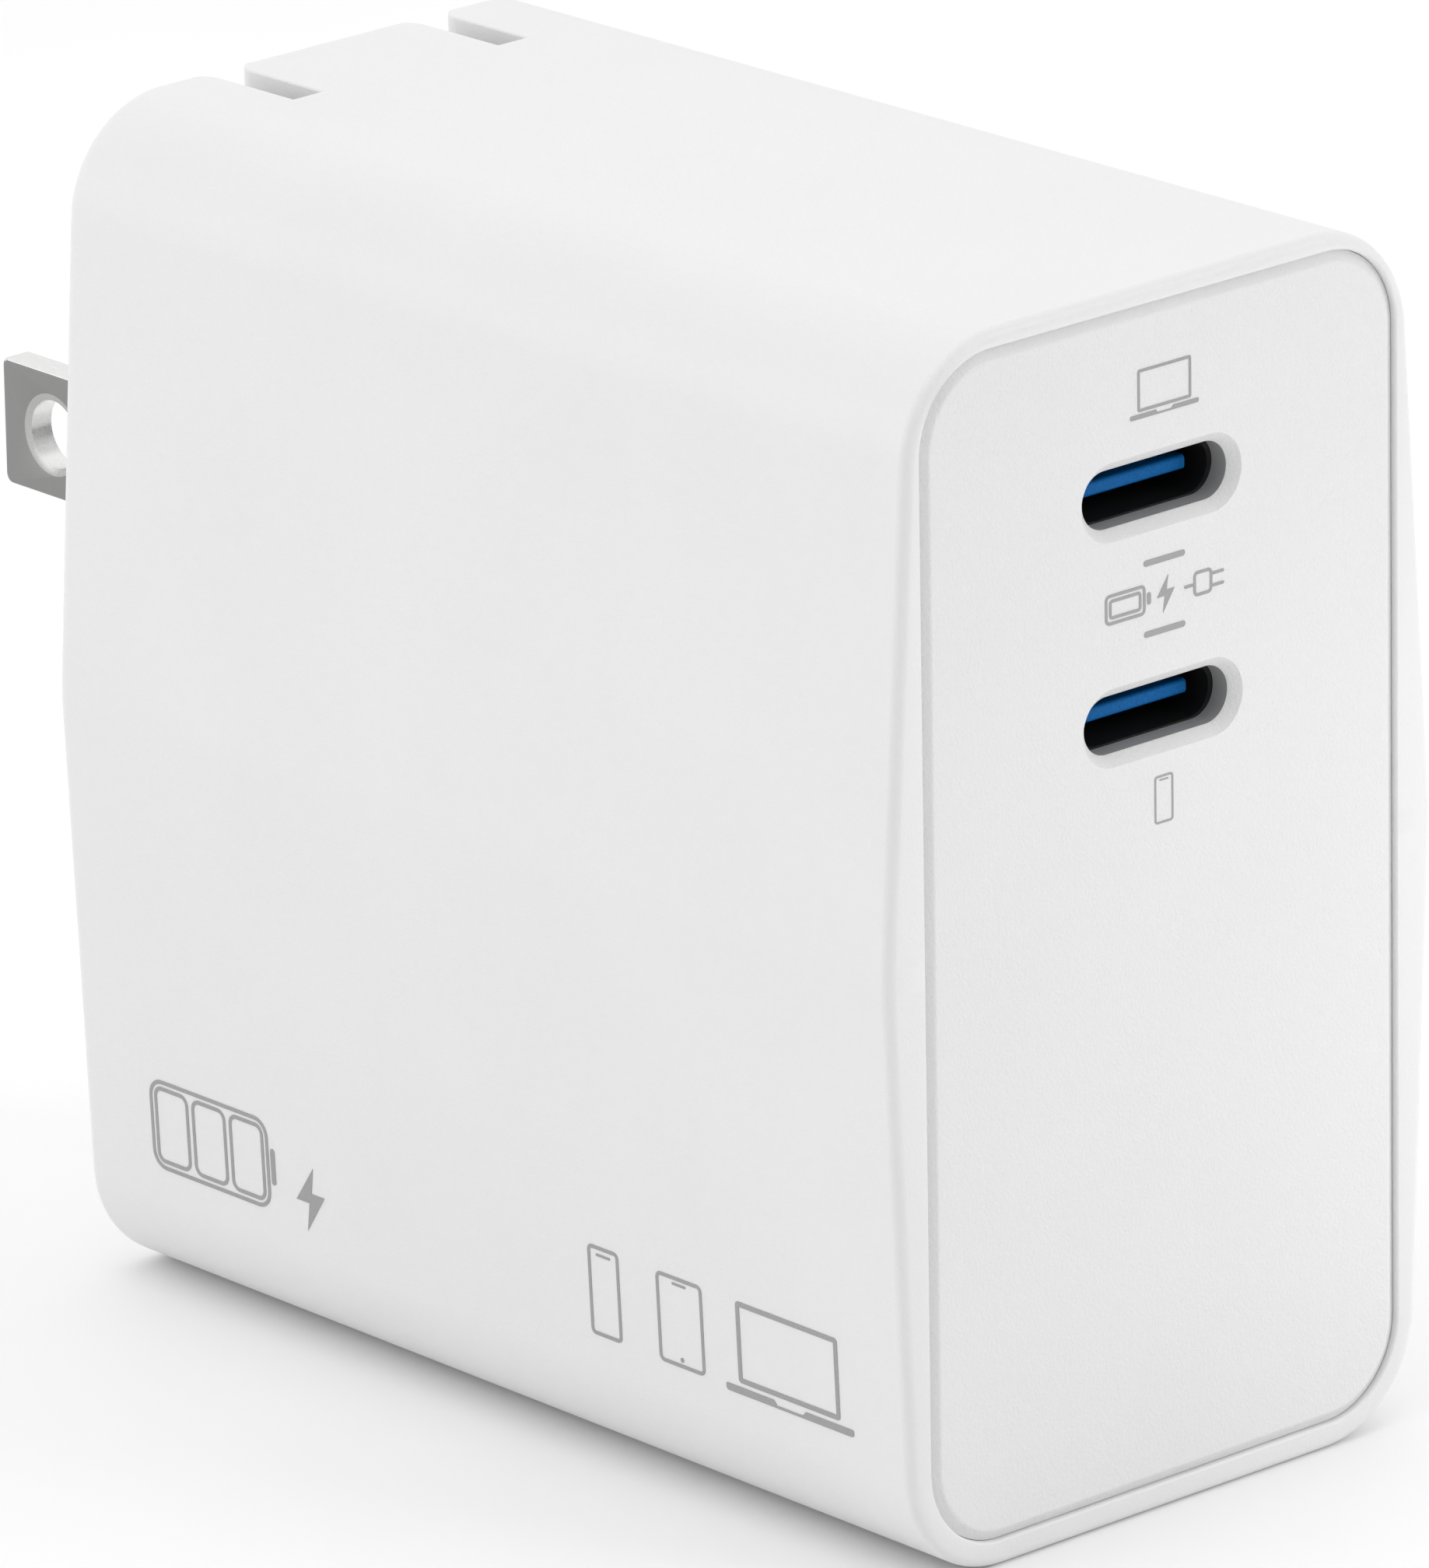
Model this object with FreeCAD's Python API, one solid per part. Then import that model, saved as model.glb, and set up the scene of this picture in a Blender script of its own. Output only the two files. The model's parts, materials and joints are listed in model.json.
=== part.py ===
"""Dual USB-C wall charger for laptops, with two blades that fold up into its rear face.

Millimetres. X runs across the narrow width, Y from the ports (front, -Y) to the blades (rear, +Y)
and Z up. The origin is the middle of the flat underside. The blades are modelled folded out.
"""
import FreeCAD, Part
import math
import os

from FreeCAD import Vector

# Body: a tall rounded prism whose long sides are slightly V-shaped, a little wider and lower at the rear.
body_depth = 57.8
face_height = 58.8
top_width = 30.4
ridge_width = 34.0
base_width = 31.4
ridge_height = 29.6
ridge_radius = 14.0
corner_radius = 5.7
rear_widening = 0.15
rear_lowering = 0.8
front_edge_radius = 0.55
rear_edge_radius = 0.6
wall = 1.8
front_y = -body_depth / 2
rear_y = body_depth / 2
rear_height = face_height - rear_lowering
rear_wall_y = rear_y - wall

# Front panel, set flush in the rim with a shallow groove round it.
panel_width = 28.5
panel_height = 55.8
panel_lift = 0.2
panel_radius = 3.9
panel_edge_radius = 0.25
groove_width = 0.4
groove_depth = 0.32
panel_thickness = 2.4
panel_middle = face_height / 2 + panel_lift
flange_gap = 0.03
skirt_length = 3.5
skirt_wall = 1.2
skirt_inset = 2.3
beyond = 1.0  # how far a cut runs past the face that it opens

# USB-C ports.
port_heights = {"upper": 49.1, "lower": 38.45}
port_width = 8.9
port_opening_height = 2.75
port_lip = 0.5
port_shell_width = 8.94
port_shell_height = 3.16
port_shell_wall = 0.3
port_shell_room = 0.05
port_shell_length = 7.7
port_shell_y = front_y + 1.45
tongue_width = 6.69
tongue_thickness = 0.7
tongue_recess = 0.6
tongue_nose = 0.2
tongue_length = 4.9
contact_count = 12
contact_pitch = 0.5
contact_width = 0.27
contact_thickness = 0.05
contact_length = 3.2
contact_start = 1.5

# Blades: a two-pole flat-blade plug at the standard spacing, folding up about one rotor.
blade_spacing = 12.7
blade_thickness = 1.5
blade_width = 6.35
blade_reach = 15.8
blade_tip_radius = 0.5
blade_edge_radius = 0.2
blade_hole_radius = 1.7
blade_hole_reach = 12.1
blade_countersink = 0.35
blade_countersink_depth = 0.14
blade_root = 0.6
blade_root_radius = 0.3
blade_height = 37.3
fold_offset = 0.4
fold_recess = 0.2
pivot_y = rear_y - fold_recess - blade_width / 2 - fold_offset
pivot_z = blade_height + fold_offset
hub_recess = 0.15
hub_radius = rear_y - pivot_y - hub_recess
hub_width = 4.6
cam_radius = 2.6
cam_flat = 2.3
cam_end_disc = 1.0
journal_radius = 1.5
journal_end = 11.0
tail_height = 3.0
tail_radius = hub_radius + 1.2
running_gap = 0.05
side_gap = 0.2

# Slots that take the folded blades.
slot_width = 1.8
slot_depth = 6.7
slot_mouth_radius = 1.6
channel_wall = 0.9

# Bracket that carries the rotor, and its springs and screws.
cheek_start = 8.85
cheek_end = 10.85
cheek_half_height = 4.0
bracket_bar = 1.6
bracket_front_y = pivot_y - 8.0
leaf_thickness = 0.4
spring_width = 3.0
spring_face_y = pivot_y - tail_radius - 0.02
screw_radius = 1.0
screw_head_radius = 1.9
screw_length = 5.0
boss_radius = 2.1
boss_length = 3.4
boss_drop = 8.2
boss_x = 11.0
screw_holes = [(side * boss_x, pivot_z + drop) for side in (-1, 1) for drop in (-boss_drop, boss_drop)]
screw_clearance = 0.15
screw_head_height = 1.2
screw_bite = screw_length - 0.2
cross_depth = 0.6
cross_reach = 1.0
cross_half_width = 0.2
seat_pad_half_height = 1.2
seat_pad_inset = 0.3
spring_backing = (-3.5, 2.5)
spring_leaf = (-9.0, 2.5)
spring_lead_width = 2.0
spring_lead_y = {"left": 13.0, "right": 10.0}
detent_half_width = 2.0
detent_half_height = 3.4

# Boards.
board_thickness = 1.6
board_x = -12.3
component_x = board_x + board_thickness
usb_board_thickness = 1.2
usb_board_y = port_shell_y + port_shell_length
usb_board_back = usb_board_y + usb_board_thickness
usb_board_x = (-11.6, 11.6)
usb_board_z = (31.0, 55.0)
main_board_front = usb_board_back + 0.4
main_board_y = (main_board_front, 24.5)
main_board_z = (3.0, 55.5)
board_cutaway_y = 15.4
board_cutaway_z = 26.5
board_rib_width = 1.2
board_rib_end = 8.0
board_rib_x = (board_x - 1.3, component_x + 0.1)
board_rib_z = ((wall / 2, 3.6), (54.9, rear_height - wall / 2))
pin_count = 6
pin_width = 0.6
pin_pitch = 2.0
pin_start_z = 32.5
pin_end_y = main_board_front + 2.5

# Transformer: two ferrite halves round a wound former that stands on Z.
transformer_x = (-9.9, 10.6)
transformer_y = (-15.0, 6.0)
transformer_z = (8.0, 28.0)
transformer_middle = [sum(span) / 2 for span in (transformer_x, transformer_y, transformer_z)]
core_plate = 3.5
core_side_leg = 2.6
core_leg_radius = 4.2
bobbin_bore = 4.3
bobbin_radius = 5.0
flange_radius = 7.4
flange_thickness = 0.8
winding_radius = 6.9
tape_radius = 7.1
bobbin_z = (transformer_z[0] + core_plate, transformer_z[1] - core_plate)
winding_z = (bobbin_z[0] + flange_thickness, bobbin_z[1] - flange_thickness)

# Bulk capacitors, lying along Y side by side, as (x, z) of their axes.
capacitor_places = {"left": (-4.6, 48.6), "right": (7.1, 48.6)}
capacitor_radius = 5.7
capacitor_y = (-14.5, 9.5)
capacitor_neck_y = 7.0
capacitor_neck_width = 0.8
capacitor_neck_depth = 0.35
capacitor_rim = 0.6
sleeve_thickness = 0.1
sleeve_end = 6.5
seal_y = 8.3
seal_thickness = 1.2
lead_radius = 0.3
lead_spread = 2.2
lead_length = 4.0

# Mains filter choke: a toroid on X.
choke_middle = (-6.4, 16.0, 13.5)
choke_radius = 6.0
choke_bore = 3.6
choke_half_width = 2.4
choke_wire = 1.0
choke_half_gap = 0.8

# Smaller parts, as (start, end) spans in X, Y and Z.
x_capacitor_block = ((-2.0, 5.0), (9.5, 22.5), (5.0, 18.0))
y_capacitor_start = (component_x + 3.6, -3.0, 33.2)
y_capacitor_radius = 3.4
y_capacitor_width = 2.6
fuse_start = (8.5, 10.5, 22.5)
fuse_radius = 1.8
fuse_length = 10.0
varistor_start = (9.0, 16.5, 10.0)
varistor_radius = 3.6
varistor_width = 3.6
rectifier_block = ((component_x, component_x + 2.4), (-3.5, 3.5), (38.0, 42.0))
output_capacitor_y = -12.0
output_capacitor_heights = (33.0, 39.4)
output_capacitor_radius = 3.1
output_capacitor_length = 9.0
inductor_x = (2.0, 10.0)
inductor_y = (-15.0, -8.6)
inductor_heights = (33.0, 39.6)
inductor_half_height = 2.9
switch_thickness = 0.8
switch_starts = (-14.0, -7.0)
switch_length = 5.0
switch_z = (4.4, 7.6)
chip_thickness = 1.0
chip_side = 3.6
chip_places = ((0.0, 4.0), (2.0, 31.0), (4.5, 4.0))
spreader_plate = ((12.9, 13.4), (-15.0, 8.5), (7.0, 51.5))
spreader_flange = ((4.0, 13.4), (-15.0, 8.5), (6.5, 7.0))
pad_block = ((10.6, 12.9), (-14.5, 5.5), (9.0, 27.0))
film_block = ((board_x - 0.35, board_x - 0.05), (main_board_front + 1.0, 7.5), (4.0, 54.5))


def box(x_range, y_range, z_range):
    """A box between two corners."""
    corner = Vector(x_range[0], y_range[0], z_range[0])
    return Part.makeBox(x_range[1] - x_range[0], y_range[1] - y_range[0], z_range[1] - z_range[0], corner)


def rod(radius, start, axis, length):
    """A solid cylinder from a point along an axis."""
    return Part.makeCylinder(radius, length, Vector(*start), Vector(*axis))


def tube(outer, inner, start, axis, length):
    """A hollow cylinder."""
    return rod(outer, start, axis, length).cut(rod(inner, start, axis, length))


def rounded_wire(corners, place):
    """A closed wire through (u, v, radius) corners; place turns (u, v) into a point."""
    starts, middles, ends = [], [], []
    for index, (u, v, radius) in enumerate(corners):
        here = Vector(u, v, 0)
        before = corners[index - 1]
        after = corners[(index + 1) % len(corners)]
        back = (Vector(before[0], before[1], 0) - here).normalize()
        ahead = (Vector(after[0], after[1], 0) - here).normalize()
        half_angle = back.getAngle(ahead) / 2
        reach = radius / math.tan(half_angle)
        bisector = (back + ahead).normalize()
        starts.append(here + back * reach)
        ends.append(here + ahead * reach)
        middles.append(here + bisector * (radius / math.sin(half_angle) - radius))
    edges = []
    for index in range(len(corners)):
        arc = [place(point.x, point.y) for point in (starts[index], middles[index], ends[index])]
        edges.append(Part.Arc(*arc).toShape())
        following = (index + 1) % len(corners)
        line_end = place(starts[following].x, starts[following].y)
        if (line_end - arc[2]).Length > 1e-4:
            edges.append(Part.makeLine(arc[2], line_end))
    return Part.Wire(edges)


def across(y):
    """Placer for outlines that stand across the depth, at y."""
    return lambda u, v: Vector(u, y, v)


def rounded_prism(width, height, radius, middle_z, y_start, y_end):
    """A rounded rectangle in X and Z, pulled along Y."""
    half_width = width / 2
    half_height = height / 2
    corners = [(half_width, half_height, radius), (-half_width, half_height, radius),
               (-half_width, -half_height, radius), (half_width, -half_height, radius)]
    raised = [(u, v + middle_z, r) for u, v, r in corners]
    face = Part.Face(rounded_wire(raised, across(y_start)))
    return face.extrude(Vector(0, y_end - y_start, 0))


def body_outline(y, inset):
    """The body's section at y, moved inwards by inset."""
    share = (y - front_y) / body_depth
    growth = rear_widening * share - inset
    half_top = top_width / 2 + growth
    half_ridge = ridge_width / 2 + growth
    half_base = base_width / 2 + growth
    top = face_height - rear_lowering * share - inset
    radius = corner_radius - inset
    corners = [(half_top, top, radius), (-half_top, top, radius),
               (-half_ridge, ridge_height, ridge_radius), (-half_base, inset, radius),
               (half_base, inset, radius), (half_ridge, ridge_height, ridge_radius)]
    return rounded_wire(corners, across(y))


def flattened(face):
    """A ruled face between two straight edges, as a true plane."""
    corners = [vertex.Point for vertex in face.OuterWire.OrderedVertexes]
    if len(corners) != 4 or not face.OuterWire.findPlane(1e-5):
        return face
    return Part.Face(Part.makePolygon(corners + corners[:1]))


def body_block(y_start, y_end, inset):
    """A solid stretch of the body between two depths."""
    loft = Part.makeLoft([body_outline(y_start, inset), body_outline(y_end, inset)], True, True)
    shell = Part.makeShell([flattened(face) for face in loft.Faces])
    shell.sewShape(1e-5)
    return Part.makeSolid(shell)


def edges_at(shape, y):
    """The edges of a shape that lie in the plane across the depth at y."""
    return [edge for edge in shape.Edges if all(abs(vertex.Y - y) < 1e-4 for vertex in edge.Vertexes)]


def round_edges_at(shape, y, radius):
    """Round off every edge in the plane at y."""
    return shape.makeFillet(radius, edges_at(shape, y))


def slot_cut(x):
    """One blade slot, open to the rear and the top, with rounded corners at its rear mouth."""
    half = slot_width / 2
    flare = slot_mouth_radius
    end_y = rear_y - slot_depth
    outside = rear_y + beyond
    points = [(x - half, end_y), (x + half, end_y), (x + half, outside), (x - half, outside)]
    floor = [Vector(u, v, pivot_z) for u, v in points]
    face = Part.Face(Part.makePolygon(floor + floor[:1]))
    slot = face.extrude(Vector(0, 0, face_height))
    for side in (-1, 1):
        edge_x = x + side * half
        corner = box((min(edge_x, edge_x + side * flare), max(edge_x, edge_x + side * flare)),
                     (rear_y - flare, outside), (pivot_z, pivot_z + face_height))
        bead = rod(flare, (edge_x + side * flare, rear_y - flare, pivot_z), (0, 0, 1), face_height)
        slot = slot.fuse(corner.cut(bead))
    return slot.removeSplitter()


def blade_channels():
    """Closed walls round each slot inside the housing, so that the folded blades touch nothing."""
    half = slot_width / 2 + channel_wall
    channel_front = rear_y - slot_depth - channel_wall
    bottom = pivot_z + hub_radius + side_gap
    channels = []
    for x in (-blade_spacing / 2, blade_spacing / 2):
        channels.append(box((x - half, x + half), (channel_front, rear_y - wall / 2),
                            (bottom, rear_height - wall / 2)))
    return channels


def boss_posts():
    """The four posts behind the rear wall that the bracket is screwed to."""
    return [rod(boss_radius, (x, rear_wall_y - boss_length, z), (0, 1, 0), boss_length + wall / 2)
            for x, z in screw_holes]


def seat_pads():
    """Pads on the rear wall that close the open seats of the bracket over the rotor's journals."""
    pads = []
    pad_start = pivot_y + journal_radius + running_gap
    for side in (-1, 1):
        span = sorted((side * (cheek_start + seat_pad_inset), side * (cheek_end - seat_pad_inset)))
        pads.append(box(span, (pad_start, rear_wall_y + wall / 2),
                        (pivot_z - seat_pad_half_height, pivot_z + seat_pad_half_height)))
    return pads


def board_ribs():
    """Two pairs of ribs that hold the long edges of the main board."""
    return [box((x, x + board_rib_width), (main_board_front, board_rib_end), span)
            for x in board_rib_x for span in board_rib_z]


def hub_windows():
    """Openings in the rear wall for the two hubs of the rotor, and the relief for its cam."""
    half_width = hub_width / 2 + side_gap
    half_height = hub_radius + side_gap
    cuts = [box((x - half_width, x + half_width), (rear_wall_y - 0.01, rear_y + beyond),
                (pivot_z - half_height, pivot_z + half_height))
            for x in (-blade_spacing / 2, blade_spacing / 2)]
    relief_end = blade_spacing / 2 - hub_width / 2 + side_gap
    relief_start = (-relief_end, pivot_y, pivot_z)
    return cuts + [rod(cam_radius + side_gap, relief_start, (1, 0, 0), 2 * relief_end)]


def make_housing():
    outer = body_block(front_y, rear_y, 0)
    outer = round_edges_at(outer, front_y, front_edge_radius)
    outer = round_edges_at(outer, rear_y, rear_edge_radius)
    cavity = body_block(front_y + panel_thickness, rear_wall_y, wall)
    mouth = rounded_prism(panel_width + 2 * groove_width, panel_height + 2 * groove_width,
                          panel_radius + groove_width, panel_middle,
                          front_y - beyond, front_y + panel_thickness)
    shell = outer.cut(cavity).cut(mouth).fuse(blade_channels() + seat_pads() + boss_posts() + board_ribs())
    cuts = [slot_cut(x) for x in (-blade_spacing / 2, blade_spacing / 2)] + hub_windows()
    for x, z in screw_holes:
        cuts.append(rod(screw_radius, (x, rear_wall_y - boss_length, z), (0, 1, 0), boss_length + 0.4))
    return shell.cut(cuts)


def port_opening(z):
    """One port's opening in the panel, and the recess for the receptacle's shell behind it."""
    radius = port_opening_height / 2 - 0.01
    end_y = front_y + panel_thickness + beyond
    hole = rounded_prism(port_width, port_opening_height, radius, z, front_y - beyond, end_y)
    recess = rounded_prism(port_shell_width + 2 * port_shell_room, port_shell_height + 2 * port_shell_room,
                           port_shell_height / 2, z, port_shell_y, end_y)
    return hole.fuse(recess)


def sloped_lip(panel, z):
    """Slope the front edge of one port's opening."""
    half_height = port_opening_height / 2
    near = [edge for edge in edges_at(panel, front_y)
            if abs(edge.CenterOfMass.z - z) < half_height + 0.1 and abs(edge.CenterOfMass.x) < port_width]
    return panel.makeChamfer(port_lip, near)


def make_front_panel():
    face = rounded_prism(panel_width, panel_height, panel_radius, panel_middle,
                         front_y, front_y + groove_depth)
    face = round_edges_at(face, front_y, panel_edge_radius)
    flange = rounded_prism(panel_width + 2 * (groove_width - flange_gap),
                           panel_height + 2 * (groove_width - flange_gap),
                           panel_radius + groove_width, panel_middle,
                           front_y + groove_depth, front_y + panel_thickness)
    skirt_start = front_y + panel_thickness
    skirt_end = skirt_start + skirt_length
    skirt = rounded_prism(panel_width - skirt_inset, panel_height - skirt_inset, panel_radius - 1.0,
                          panel_middle, skirt_start, skirt_end)
    inside = rounded_prism(panel_width - skirt_inset - 2 * skirt_wall,
                           panel_height - skirt_inset - 2 * skirt_wall, panel_radius - 2.0,
                           panel_middle, skirt_start, skirt_end)
    panel = face.fuse([flange, skirt.cut(inside)])
    panel = panel.cut([port_opening(z) for z in port_heights.values()]).removeSplitter()
    for z in port_heights.values():
        panel = sloped_lip(panel, z)
    return panel


def make_port_shell(z):
    """The drawn metal shell of one receptacle."""
    outer = rounded_prism(port_shell_width, port_shell_height, port_shell_height / 2 - 0.01, z,
                          port_shell_y, port_shell_y + port_shell_length)
    inner = rounded_prism(port_shell_width - 2 * port_shell_wall, port_shell_height - 2 * port_shell_wall,
                          port_shell_height / 2 - port_shell_wall - 0.01, z,
                          port_shell_y, port_shell_y + port_shell_length)
    return outer.cut(inner)


def tongue_front():
    return port_shell_y + tongue_recess


def tongue_back():
    return tongue_front() + tongue_length


def make_port_base(z):
    """The moulded insulator at the back of one receptacle."""
    return rounded_prism(port_shell_width - 2 * port_shell_wall, port_shell_height - 2 * port_shell_wall,
                         port_shell_height / 2 - port_shell_wall - 0.01, z,
                         tongue_back(), port_shell_y + port_shell_length)


def make_port_tongue(z):
    """The centre tongue of one receptacle, with a rounded front."""
    tongue = box((-tongue_width / 2, tongue_width / 2), (tongue_front(), tongue_back()),
                 (z - tongue_thickness / 2, z + tongue_thickness / 2))
    front = edges_at(tongue, tongue_front())
    return tongue.makeFillet(tongue_nose, [edge for edge in front if edge.Length > 1.0])


def make_port_contacts(z):
    """The contacts that lie on both faces of one tongue."""
    strips = []
    start = tongue_front() + contact_start
    for index in range(contact_count):
        x = (index - (contact_count - 1) / 2) * contact_pitch
        span = (x - contact_width / 2, x + contact_width / 2)
        top = z + tongue_thickness / 2
        bottom = z - tongue_thickness / 2
        strips.append(box(span, (start, start + contact_length), (top, top + contact_thickness)))
        strips.append(box(span, (start, start + contact_length), (bottom - contact_thickness, bottom)))
    return Part.makeCompound(strips)


def in_side_view(x):
    """Placer for outlines drawn in side view (y, z), at x."""
    return lambda u, v: Vector(x, u, v)


def blade_tail(x):
    """The stretch of a blade that comes out of the rotor inside and meets its spring."""
    middle_z = pivot_z - fold_offset
    bar = box((x - blade_thickness / 2, x + blade_thickness / 2), (pivot_y - tail_radius, pivot_y),
              (middle_z - tail_height / 2, middle_z + tail_height / 2))
    return bar.common(rod(tail_radius, (x - hub_width, pivot_y, pivot_z), (1, 0, 0), 2 * hub_width))


def make_blade(x):
    tip = rear_y + blade_reach
    low = blade_height - blade_width / 2
    high = blade_height + blade_width / 2
    root = pivot_y - blade_root
    corners = [(root, high, blade_root_radius), (root, low, blade_root_radius),
               (tip, low, blade_tip_radius), (tip, high, blade_tip_radius)]
    side = x - blade_thickness / 2
    plate = Part.Face(rounded_wire(corners, in_side_view(side))).extrude(Vector(blade_thickness, 0, 0))
    outline_edges = [edge for edge in plate.Edges
                     if abs(edge.Vertexes[0].X - edge.Vertexes[-1].X) < 1e-4]
    plate = plate.makeFillet(blade_edge_radius, outline_edges)
    hole_y = rear_y + blade_hole_reach
    hole = rod(blade_hole_radius, (side - beyond, hole_y, blade_height), (1, 0, 0),
               blade_thickness + 2 * beyond)
    wide = blade_hole_radius + blade_countersink
    cuts = [hole]
    for start, direction in ((side, 1), (side + blade_thickness, -1)):
        cuts.append(Part.makeCone(wide, blade_hole_radius, blade_countersink_depth,
                                  Vector(start, hole_y, blade_height), Vector(direction, 0, 0)))
    return plate.fuse(blade_tail(x)).cut(cuts).removeSplitter()


def make_rotor(blades):
    """The plastic rotor moulded round both blades: two hubs, a cam between them and two journals."""
    inner = blade_spacing / 2 - hub_width / 2
    outer = blade_spacing / 2 + hub_width / 2
    pieces = []
    for x in (-outer, inner):
        pieces.append(rod(hub_radius, (x, pivot_y, pivot_z), (1, 0, 0), hub_width))
    cam = rod(cam_radius, (-inner, pivot_y, pivot_z), (1, 0, 0), 2 * inner)
    reach = cam_radius + beyond
    span = (-inner + cam_end_disc, inner - cam_end_disc)
    flats = [box(span, (pivot_y - reach, pivot_y - cam_flat), (pivot_z - reach, pivot_z + reach)),
             box(span, (pivot_y - reach, pivot_y + reach), (pivot_z + cam_flat, pivot_z + reach))]
    pieces.append(cam.cut(flats))
    journals = rod(journal_radius, (-journal_end, pivot_y, pivot_z), (1, 0, 0), 2 * journal_end)
    return journals.fuse(pieces).cut(blades).removeSplitter()


def bracket_ears():
    """Four ears that the screws hold against the posts, and the holes through them."""
    ears, holes = [], []
    boss_face = rear_wall_y - boss_length
    for x, z in screw_holes:
        outwards = math.copysign(1, z - pivot_z)
        span_z = sorted((pivot_z + outwards * (cheek_half_height - 1.0), z + outwards * boss_radius))
        ears.append(box((x - boss_radius, x + boss_radius), (boss_face - bracket_bar, boss_face), span_z))
        start = (x, boss_face - bracket_bar - beyond, z)
        holes.append(rod(screw_radius + screw_clearance, start, (0, 1, 0), bracket_bar + 2 * beyond))
    return ears, holes


def make_bracket():
    """The U-shaped carrier: two cheeks with open seats for the journals, a bar and four ears."""
    bar_end = bracket_front_y + bracket_bar
    cheek_z = (pivot_z - cheek_half_height, pivot_z + cheek_half_height)
    seat_radius = journal_radius + running_gap
    bar = box((-cheek_end, cheek_end), (bracket_front_y, bar_end), cheek_z)
    pieces, cuts = bracket_ears()
    for side in (-1, 1):
        cheek_x = sorted((side * cheek_start, side * cheek_end))
        pieces.append(box(cheek_x, (bracket_front_y, rear_wall_y), cheek_z))
        seat_x = (cheek_x[0] - beyond, cheek_x[1] + beyond)
        cuts.append(rod(seat_radius, (seat_x[0], pivot_y, pivot_z), (1, 0, 0), seat_x[1] - seat_x[0]))
        cuts.append(box(seat_x, (pivot_y, rear_wall_y + beyond),
                        (pivot_z - seat_radius, pivot_z + seat_radius)))
        # A pad that backs one contact spring.
        middle = side * blade_spacing / 2
        pieces.append(box((middle - spring_width / 2, middle + spring_width / 2),
                          (bar_end, spring_face_y - leaf_thickness),
                          (pivot_z + spring_backing[0], pivot_z + spring_backing[1])))
    return bar.fuse(pieces).cut(cuts).removeSplitter()


def make_bracket_screws():
    """Four pan-head screws that hold the bracket to the rear wall."""
    screws = []
    head_y = rear_wall_y - boss_length - bracket_bar - screw_head_height
    for x, z in screw_holes:
        head = rod(screw_head_radius, (x, head_y, z), (0, 1, 0), screw_head_height)
        shank = rod(screw_radius, (x, head_y, z), (0, 1, 0), screw_head_height + screw_bite)
        cross = []
        for reach_x, reach_z in ((cross_half_width, cross_reach), (cross_reach, cross_half_width)):
            cross.append(box((x - reach_x, x + reach_x), (head_y, head_y + cross_depth),
                             (z - reach_z, z + reach_z)))
        screws.append(head.fuse(shank).cut(cross).removeSplitter())
    return Part.makeCompound(screws)


def make_contact_spring(side_name):
    """A leaf that meets one blade's tail while the blade is out, with a lead to the main board."""
    x = -blade_spacing / 2 if side_name == "left" else blade_spacing / 2
    lead_y = spring_lead_y[side_name]
    span = (x - spring_width / 2, x + spring_width / 2)
    foot = pivot_z + spring_leaf[0]
    leaf = box(span, (spring_face_y - leaf_thickness, spring_face_y), (foot, pivot_z + spring_leaf[1]))
    foot_z = (foot - leaf_thickness, foot)
    lead = box((component_x, span[1]), (lead_y, lead_y + spring_lead_width), foot_z)
    return leaf.fuse([box(span, (lead_y, spring_face_y), foot_z), lead]).removeSplitter()


def make_detent_spring():
    """A leaf spring on the bracket's bar that presses on the flats of the rotor's cam."""
    span = (-detent_half_width, detent_half_width)
    face_y = pivot_y - cam_radius - running_gap
    low = pivot_z - detent_half_height
    high = pivot_z + detent_half_height
    leaf = box(span, (face_y - leaf_thickness, face_y), (low, high))
    arms = [box(span, (bracket_front_y + bracket_bar, face_y), (z, z + leaf_thickness))
            for z in (low, high - leaf_thickness)]
    return leaf.fuse(arms).removeSplitter()


def make_main_board():
    """The main board, cut away at the rear to leave room for the blade bracket."""
    board = box((board_x, component_x), main_board_y, main_board_z)
    cutaway = box((board_x - beyond, component_x + beyond), (board_cutaway_y, rear_y),
                  (board_cutaway_z, face_height))
    return board.cut(cutaway)


def make_usb_board():
    """The small board across the front that carries both receptacles."""
    return box(usb_board_x, (usb_board_y, usb_board_back), usb_board_z)


def make_header_pins():
    """The pins that join the USB board to the main board."""
    pins = []
    for index in range(pin_count):
        z = pin_start_z + index * pin_pitch
        pins.append(box((component_x, component_x + pin_width), (usb_board_back, pin_end_y),
                        (z, z + pin_width)))
    return Part.makeCompound(pins)


def make_core_half(side):
    """One ferrite half of the transformer: a plate with two outer legs and half a round centre leg."""
    middle_x, middle_y, middle_z = transformer_middle
    end = transformer_z[0] if side < 0 else transformer_z[1]
    half_z = sorted((end, middle_z))
    plate = box(transformer_x, transformer_y, sorted((end, end - side * core_plate)))
    legs = [box((transformer_x[0], transformer_x[0] + core_side_leg), transformer_y, half_z),
            box((transformer_x[1] - core_side_leg, transformer_x[1]), transformer_y, half_z),
            rod(core_leg_radius, (middle_x, middle_y, half_z[0]), (0, 0, 1), half_z[1] - half_z[0])]
    return plate.fuse(legs).removeSplitter()


def make_bobbin():
    """The former between the core halves: a tube with two flanges."""
    middle_x, middle_y, _ = transformer_middle
    low, high = bobbin_z
    bore = rod(bobbin_bore, (middle_x, middle_y, low), (0, 0, 1), high - low)
    barrel = rod(bobbin_radius, (middle_x, middle_y, low), (0, 0, 1), high - low)
    flanges = [rod(flange_radius, (middle_x, middle_y, z), (0, 0, 1), flange_thickness)
               for z in (low, high - flange_thickness)]
    return barrel.fuse(flanges).cut(bore).removeSplitter()


def make_winding_layer(outer, inner):
    """One layer wound on the former."""
    middle_x, middle_y, _ = transformer_middle
    low, high = winding_z
    return tube(outer, inner, (middle_x, middle_y, low), (0, 0, 1), high - low)


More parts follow.
